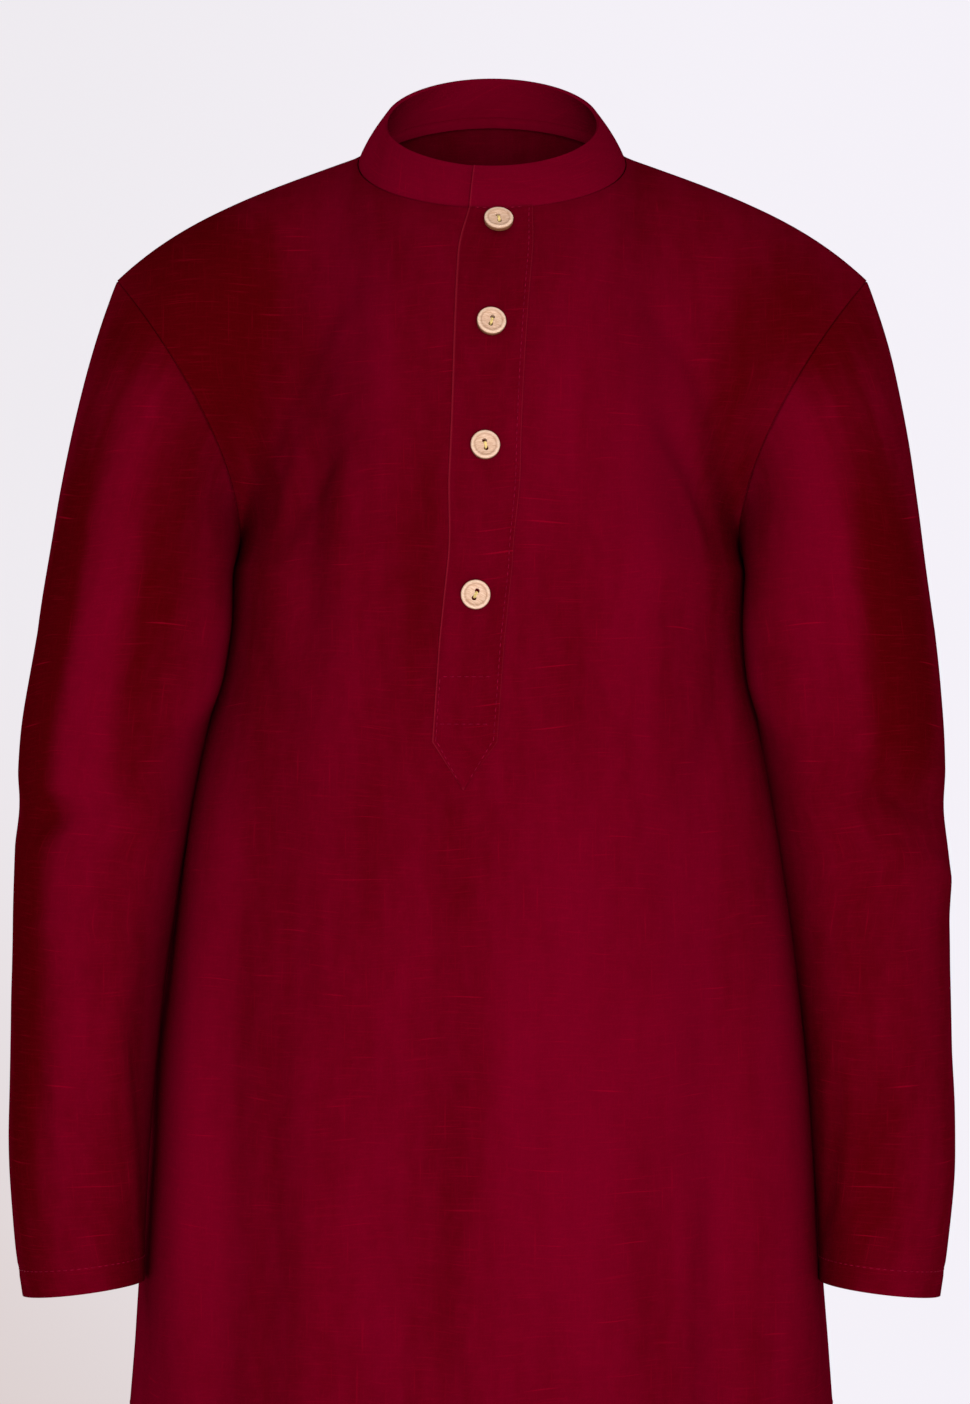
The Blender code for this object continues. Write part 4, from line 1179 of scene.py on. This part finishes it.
# %% Build the pieces of cloth
def build_cloth(name, form, wall, node, tube=False):
    """A piece of cloth on its grid, which stands for one CAD node."""
    points, cloth, normals = form["points"], form["cloth"], form["normals"]
    rows, columns = points.shape[:2]
    width = columns + (1 if tube else 0)
    sheet = bmesh.new()
    uv_map = sheet.loops.layers.uv.new("cloth")
    # Point attributes: the red's tone with its painted shading, and the edges that take a painted
    # highlight.
    tone_and_painted_shading, edge = (sheet.verts.layers.float.new(name) for name in ("tone_and_painted_shading", "edge"))
    bmesh.ops.create_grid(sheet, x_segments=width - 1, y_segments=rows - 1, size=1.0)
    sheet.verts.ensure_lookup_table()
    for index, vertex in enumerate(sheet.verts):
        vertex.co = points[index // width, index % width % columns]
        vertex[tone_and_painted_shading] = form["tone_and_painted_shading"][index // width, index % width % columns]
        if "edge" in form:
            vertex[edge] = form["edge"][index // width, index % width]
    for quad in sheet.faces:
        for loop in quad.loops:
            index = loop.vert.index
            loop[uv_map].uv = cloth[index // width, index % width]
    sheet.normal_update()
    facing = 0.0
    for quad in list(sheet.faces)[::37]:
        index = quad.verts[0].index
        facing += float(np.dot(quad.normal, normals[index // width, index % width % columns]))
    if facing < 0:
        bmesh.ops.reverse_faces(sheet, faces=sheet.faces)
    if tube:
        bmesh.ops.remove_doubles(sheet, verts=sheet.verts, dist=1e-7)
    mesh = to_mesh(name, sheet)
    mesh.shade_smooth()
    mesh.materials.append(cloth_material)
    piece = add_object(name, mesh)
    solidify = piece.modifiers.new("wall", "SOLIDIFY")
    solidify.thickness, solidify.offset = wall, -1.0
    rounding = piece.modifiers.new("rounded_edges", "BEVEL")
    rounding.width, rounding.segments = wall * 0.35, 2
    rounding.limit_method, rounding.angle_limit = "ANGLE", math.radians(50)
    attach(piece, "root")
    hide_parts(node)
    return piece


front_cloth = build_cloth("front_cloth", panels["front"], CLOTH_WALL, "body_front")
back_cloth = build_cloth("back_cloth", panels["back"], CLOTH_WALL, "body_back")
left_cloth = build_cloth("sleeve_left_cloth", sleeves["left"], CLOTH_WALL, "sleeve_left", tube=True)
right_cloth = build_cloth("sleeve_right_cloth", sleeves["right"], CLOTH_WALL, "sleeve_right", tube=True)
collar_cloth = build_cloth("collar_cloth", collar, COLLAR_WALL, "collar")
placket_cloth = build_cloth("placket_cloth", placket, PLACKET_WALL, "placket")

# %% [markdown]
# ## Stitches
# A row of stitches follows a path on the cloth. Each stitch is a small capsule that lies along the path,
# half sunk in the cloth. All stitches of a seam are one mesh.

# %% Sew a row of stitches
STITCH_LENGTH, STITCH_GAP, STITCH_RADIUS = 0.0023, 0.0008, 0.00021


def sew(name, paths, material):
    """Stitches along paths; a path is a list of (point, normal) on the cloth."""
    stitches = bmesh.new()
    for path in paths:
        points = np.array([point for point, _ in path])
        normals = np.array([normal for _, normal in path])
        length = np.concatenate([[0.0], np.cumsum(np.linalg.norm(np.diff(points, axis=0), axis=1))])
        for start in np.arange(STITCH_GAP, length[-1] - STITCH_LENGTH, STITCH_LENGTH + STITCH_GAP):
            middle, ahead, up = (
                Vector([np.interp(start + STITCH_LENGTH * share, length, table[:, axis])
                        for axis in range(3)])
                for share, table in ((0.5, points), (1.0, points), (0.5, normals)))
            along = (ahead - middle).normalized()
            sideways = up.cross(along).normalized()
            turn = Matrix((along, sideways, along.cross(sideways))).transposed().to_4x4()
            size = Matrix.Diagonal((STITCH_LENGTH / 2, STITCH_RADIUS, STITCH_RADIUS, 1.0))
            bmesh.ops.create_uvsphere(stitches, u_segments=6, v_segments=5, radius=1.0,
                                      matrix=Matrix.Translation(middle) @ turn @ size)
    mesh = to_mesh(name, stitches)
    mesh.shade_smooth()
    mesh.materials.append(material)
    piece = add_object(name, mesh)
    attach(piece, "root")
    print(name, "stitch paths:", len(paths))

# %% [markdown]
# The placket is sewn down its stitched edge, round its point and across its top, and two rows cross it
# above the point. The hem, slits and cuffs have one row each.

# %% Sew the seams
STITCH_LIFT = 0.00005
EDGE_SHARE, TIP_SHARE, ACROSS_SHARE = 0.88, 0.84, 0.86      # how far out on the placket each row lies
LAST_TIP_STITCH, FREE_EDGE_END = 13.86, 11.9                # rows of the front
CROSS_ROWS = (0.12, FREE_EDGE_END, 12.7)
SIDE_INSET, SLIT_INSET = 0.5, 0.42                          # columns of the panels


def path_on(face, rows, columns, lift=0.0):
    """Points on a panel with their normals. rows or columns may be one number."""
    return [on_panel(face, row, column, lift) for row, column in np.broadcast(rows, columns)]


def placket_path(rows, shares):
    """Points on the placket: shares are -1 and 1 at its edges, and its tip is narrower."""
    narrow = np.clip(1.0 - (rows - TIP_ROW), 0.02, 1.0)
    return path_on("front", rows, PLACKET_MIDDLE + 2 * shares * narrow, PLACKET_LIFT + STITCH_LIFT)


def grid_row_path(form, row):
    """Points round one row of a tube's grid."""
    path = list(zip(form["points"][row], form["normals"][row]))
    return path + path[:1]


def row_above_cuff(form, distance):
    """The sleeve's row this far above the cuff."""
    down = lengths_along(form["points"], 0)[:, 0]
    return int(np.argmin(np.abs(down[-1] - down - distance)))


sew("placket_stitches", [
    placket_path(np.linspace(start, TIP_ROW, count), side * EDGE_SHARE)
    + placket_path(np.linspace(TIP_ROW + 0.02, LAST_TIP_STITCH, 12), side * TIP_SHARE)
    for start, count, side in ((0.1, 220, 1), (FREE_EDGE_END, 30, -1))
] + [placket_path(row, np.linspace(-ACROSS_SHARE, ACROSS_SHARE, 24)) for row in CROSS_ROWS], red_thread)
sew("hem_stitches", [
    path_on(face, hem_line, np.linspace(SIDE_INSET, last - SIDE_INSET, 150))
    for face, last in LAST_COLUMN.items()], red_thread)
sew("cuff_stitches", [
    grid_row_path(sleeve, row_above_cuff(sleeve, CUFF_FOLD)) for sleeve in sleeves.values()], red_thread)
slit_row = float(np.interp(SLIT_DROP, ROW_DROPS[1], ROW_DROPS[0]))
sew("slit_stitches", [
    path_on(face, np.linspace(slit_row, hem_line, 80), column)
    for face, last in LAST_COLUMN.items() for column in (SLIT_INSET, last - SLIT_INSET)], red_thread)

# %% [markdown]
# ## Buttons
# A button is one turned outline, spun into a disc: a flat back, a rounded side, a low rim and a shallow
# dish. Two thread holes are cut through it.

# %% Turn a button
BUTTON_PLACES = [(0.0366, 0.0027), (0.0821, -0.0006), (0.1359, -0.0032), (0.2002, -0.0073)]
BUTTON_RADIUS, BUTTON_THICKNESS = 0.00635, 0.0030
HOLE_RADIUS, HOLE_SPACING = 0.00105, 0.0034
# degrees: the side that each button's face leans to (0 is the picture's right, 90 is up), how far, its spin
BUTTON_TURNS = [(80, 9, 10), (15, 7, -14), (40, 6, 12), (10, 6, -24)]
# radius, height: shares of the button's radius and thickness
BUTTON_OUTLINE = [(0.0, 0.77), (0.30, 0.765), (0.55, 0.78), (0.66, 0.83), (0.73, 0.93), (0.78, 0.985),
                  (0.84, 1.0), (0.90, 0.985), (0.95, 0.94), (0.985, 0.86), (1.0, 0.74), (1.0, 0.50),
                  (1.0, 0.26), (0.985, 0.12), (0.95, 0.04), (0.90, 0.0), (0.5, 0.0), (0.0, 0.0)]


def hole_guide():
    """The two thread holes as one guide mesh."""
    guide = bmesh.new()
    for side in (-1, 1):
        hole = bmesh.ops.create_cone(guide, cap_ends=True, segments=24, radius1=HOLE_RADIUS,
                                     radius2=HOLE_RADIUS, depth=BUTTON_THICKNESS * 3)
        bmesh.ops.translate(guide, verts=hole["verts"], vec=(0.0, side * HOLE_SPACING / 2, 0.0))
    return add_object("holes", to_mesh("holes", guide))


def turned_disc(name):
    """The button's disc before its holes are cut."""
    disc = bmesh.new()
    ring = [disc.verts.new((radius * BUTTON_RADIUS, 0.0, height * BUTTON_THICKNESS))
            for radius, height in BUTTON_OUTLINE]
    for start, end in zip(ring, ring[1:]):
        disc.edges.new((start, end))
    bmesh.ops.spin(disc, geom=disc.verts[:] + disc.edges[:], cent=(0, 0, 0), axis=(0, 0, 1),
                   angle=2 * math.pi, steps=56, use_merge=True)
    bmesh.ops.remove_doubles(disc, verts=disc.verts, dist=1e-6)
    bmesh.ops.recalc_face_normals(disc, faces=disc.faces)
    return add_object(name, to_mesh(name, disc))


def button_mesh(name):
    """A finished button mesh with its holes, its wood coordinates and the places of its rim and side."""
    piece, cutter = turned_disc(name), hole_guide()
    cut = piece.modifiers.new("thread_holes", "BOOLEAN")
    cut.operation, cut.object = "DIFFERENCE", cutter
    depsgraph = bpy.context.evaluated_depsgraph_get()
    mesh = bpy.data.meshes.new_from_object(piece.evaluated_get(depsgraph))
    for old in (piece, cutter):
        bpy.data.objects.remove(old, do_unlink=True)
    wood = mesh.uv_layers.new(name="wood")
    for loop in mesh.loops:
        point = mesh.vertices[loop.vertex_index].co
        wood.data[loop.index].uv = (point.x + point.z * 0.3, point.y + point.z)
    rim = mesh.attributes.new("rim", "FLOAT", "POINT")
    side = mesh.attributes.new("side", "FLOAT", "POINT")
    for vertex in mesh.vertices:
        radius = math.hypot(vertex.co.x, vertex.co.y) / BUTTON_RADIUS
        height = vertex.co.z / BUTTON_THICKNESS
        rim.data[vertex.index].value = float(hump((radius - 0.90) / 0.10)) * (1.0 if height > 0.8 else 0.0)
        edge = float(smooth_step((0.86 - height) / 0.2) * smooth_step(radius * 20 - 17))
        step = 0.35 * float(hump((radius - 0.74) / 0.07)) * (1.0 if height > 0.7 else 0.0)
        side.data[vertex.index].value = max(edge, step)
    mesh.shade_smooth()
    mesh.set_sharp_from_angle(angle=math.radians(50))
    mesh.materials.append(wood_material)
    return mesh


print("Points of the button's outline:", len(BUTTON_OUTLINE))

# %% [markdown]
# Cream thread goes down one hole and up the other, and binds the button to the placket underneath.

# %% Thread for a button
THREAD_RADIUS, THREAD_ASIDE = 0.0003, 0.00027       # two turns of thread lie side by side


def tube(target, path, radius, sides=8):
    """A round thread along a path."""
    rings = []
    for index, point in enumerate(path):
        ahead = Vector(path[min(index + 1, len(path) - 1)]) - Vector(path[max(index - 1, 0)])
        turn = ahead.to_track_quat("Z", "X").to_matrix().to_4x4()
        ring = bmesh.ops.create_circle(target, segments=sides, radius=radius,
                                       matrix=Matrix.Translation(point) @ turn)["verts"]
        rings.append(ring)
    for pair in zip(rings, rings[1:]):
        edges = {edge for ring in pair for vertex in ring for edge in vertex.link_edges
                 if edge.other_vert(vertex) in ring}
        bmesh.ops.bridge_loops(target, edges=list(edges))


def thread_mesh(name, depth):
    """The visible thread over the button and the shank under it."""
    thread = bmesh.new()
    dish = BUTTON_THICKNESS * BUTTON_OUTLINE[0][1]
    inner = HOLE_SPACING / 2 - 0.00045
    for aside in (-THREAD_ASIDE, THREAD_ASIDE):
        up = [(aside * 0.6, -inner, -depth), (aside, -inner, dish - THREAD_RADIUS),
              (aside, -inner + THREAD_RADIUS, dish + 0.00022)]
        down = [(x, -y, z) for x, y, z in reversed(up)]
        tube(thread, up + [(aside, 0.0, dish + 0.00040)] + down, THREAD_RADIUS)
    thread.normal_update()
    bmesh.ops.recalc_face_normals(thread, faces=thread.faces)
    mesh = to_mesh(name, thread)
    mesh.shade_smooth()
    mesh.materials.append(cream_thread)
    return mesh


print("Thread thickness:", 2 * THREAD_RADIUS)

# %% [markdown]
# Each button rests on the placket. Rays from the front find the cloth under its middle and its rim, so it
# lies flat there. Then it leans and turns a little, as sewn buttons do, and is lifted clear of the cloth.

# %% Sew on the buttons
def seat(surface, drop, across):
    """Where a button sits: its middle, its outward direction and how far it is lifted."""
    def meet(aside, below):
        ray = surface.ray_cast(Vector((across + aside, -1.0, -drop - below)), Vector((0.0, 1.0, 0.0)))
        return ray[0]
    middle = meet(0.0, 0.0)
    turns = [math.radians(degrees) for degrees in range(0, 360, 30)]
    rim = [meet(BUTTON_RADIUS * math.cos(turn), BUTTON_RADIUS * math.sin(turn)) for turn in turns]
    normal = (rim[0] - rim[6]).cross(rim[3] - rim[9]).normalized()
    if normal.y > 0:
        normal.negate()
    lift = max((point - middle).dot(normal) for point in rim + [middle]) + 2 * SEAM_GAP
    return middle, normal, lift


def place_mesh(name, mesh, place, nodes):
    """A piece whose place is in its mesh."""
    mesh.transform(place)
    piece = add_object(name, mesh)
    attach(piece, "root")
    if nodes:
        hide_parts(*nodes)


surface = grid_surface([placket["points"]])
for number, (drop, across) in enumerate(BUTTON_PLACES, start=1):
    middle, normal, lift = seat(surface, drop, across)
    turn = normal.to_track_quat("Z", "Y").to_matrix().to_4x4()
    towards, tilt, spin = BUTTON_TURNS[number - 1]
    lift += BUTTON_RADIUS * math.sin(math.radians(tilt)) * 0.7
    axis = Vector((-math.sin(math.radians(towards)), math.cos(math.radians(towards)), 0.0))
    lean = Matrix.Rotation(math.radians(tilt), 4, axis)
    spun = Matrix.Rotation(math.radians(spin), 4, "Z")
    place = Matrix.Translation(middle + normal * lift) @ turn @ lean @ spun
    button, thread = f"wooden_button_{number}", f"button_thread_{number}"
    place_mesh(button, button_mesh(button), place, [f"button_{number}"])
    place_mesh(thread, thread_mesh(thread, lift * 0.9), place, [])

# %% [markdown]
# ## The sheets
# Each cut piece's size before it was sewn is measured along its grid and printed.

def cut_size(form):
    """The widest row, the longest column and the area of a form's cloth."""
    points = form["points"]
    across, down = np.diff(points, axis=1)[:-1], np.diff(points, axis=0)[:, :-1]
    area = np.linalg.norm(np.cross(across, down), axis=2).sum()
    return [round(float(size), 4) for size in
            (lengths_along(points, 1)[:, -1].max(), lengths_along(points, 0)[-1].max(), area)]


for name, form in [("front", panels["front"]), ("back", panels["back"]), ("left sleeve", sleeves["left"]),
                   ("right sleeve", sleeves["right"]), ("collar", collar), ("placket", placket)]:
    print(name, "width, length, area:", cut_size(form))

# %% [markdown]
# ## Floor, light and camera
# The floor is a plain pale disc below the hem. The world is a pale backdrop, a little darker to the left
# and darker still towards the lower left, with dimmer walls on the other sides.

# %% Floor and world
scene = bpy.context.scene
FLOOR_DROP, FLOOR_RADIUS = 1.05, 3.0


def make_floor():
    """A plain pale disc."""
    disc = bmesh.new()
    bmesh.ops.create_circle(disc, cap_ends=True, segments=96, radius=FLOOR_RADIUS,
                            matrix=Matrix.Translation((0.0, 0.0, -FLOOR_DROP)))
    mesh = to_mesh("floor", disc)
    material, _, shader = new_material("pale_floor")
    shader.inputs["Base Color"].default_value = (0.82, 0.80, 0.80, 1.0)
    shader.inputs["Roughness"].default_value = 0.9
    mesh.materials.append(material)
    add_object("floor", mesh)


def make_backdrop():
    """A pale backdrop behind the tunic, darker towards the lower left, and softer, dimmer walls on the
    other sides.
    """
    world = bpy.data.worlds.new("pale_studio")
    world.use_nodes = True
    tree = world.node_tree
    direction = add_node(tree, "ShaderNodeSeparateXYZ")
    tree.links.new(add_node(tree, "ShaderNodeTexCoord").outputs["Generated"], direction.inputs["Vector"])
    x, y, z = (direction.outputs[axis] for axis in "XYZ")
    colour = blend_colours(tree, between(tree, x, -0.10, 0.06), BACKDROP_LEFT, BACKDROP_RIGHT)
    corner = calculate(tree, "ADD", calculate(tree, "MULTIPLY", z, -1.0),
                       calculate(tree, "MULTIPLY", x, -1.0))
    colour = blend_colours(tree, between(tree, corner, 0.06, 0.26), colour, BACKDROP_LOW)
    colour = blend_colours(tree, between(tree, y, 0.2, 0.7), WALLS, colour)
    tree.links.new(colour, tree.nodes["Background"].inputs["Color"])
    return world


BACKDROP_LEFT, BACKDROP_RIGHT = (0.86, 0.83, 0.87, 1.0), (0.91, 0.88, 0.94, 1.0)
BACKDROP_LOW, WALLS = (0.71, 0.62, 0.61, 1.0), (0.66, 0.65, 0.66, 1.0)
make_floor()
scene.world = make_backdrop()
print("Floor below the shoulders:", FLOOR_DROP, "and world:", scene.world.name)

# %% [markdown]
# One large soft light stands in front, a little to the wearer's left, and another behind. The camera has
# a long lens and looks straight at the front.

# %% Light and camera
def soft_light(name, place, target, size, power, colour):
    """A square soft light that faces its target."""
    light = bpy.data.lights.new(name, "AREA")
    light.shape, light.size, light.energy, light.color = "SQUARE", size, power, colour
    lamp = bpy.data.objects.new(name, light)
    lamp.location = place
    lamp.rotation_euler = (Vector(target) - Vector(place)).to_track_quat("-Z", "Y").to_euler()
    scene.collection.objects.link(lamp)


soft_light("key_light", (0.20, -2.8, -0.35), (0.0, 0.0, -0.3), 1.4, 71.0, (1.0, 0.98, 0.97))
soft_light("back_light", (-1.7, 2.3, 0.5), (0.0, 0.0, -0.35), 1.4, 45.0, (1.0, 1.0, 1.0))
scene.view_settings.view_transform = "Standard"

camera_data = bpy.data.cameras.new("camera")
camera_data.sensor_width = 36.0
camera_data.lens = 136.75
camera = bpy.data.objects.new("camera", camera_data)
camera.location = (-0.00315, -2.4, -0.24615)
camera.rotation_euler = (math.radians(90), 0.0, 0.0)
scene.collection.objects.link(camera)
scene.camera = camera
print("Camera lens:", camera_data.lens)
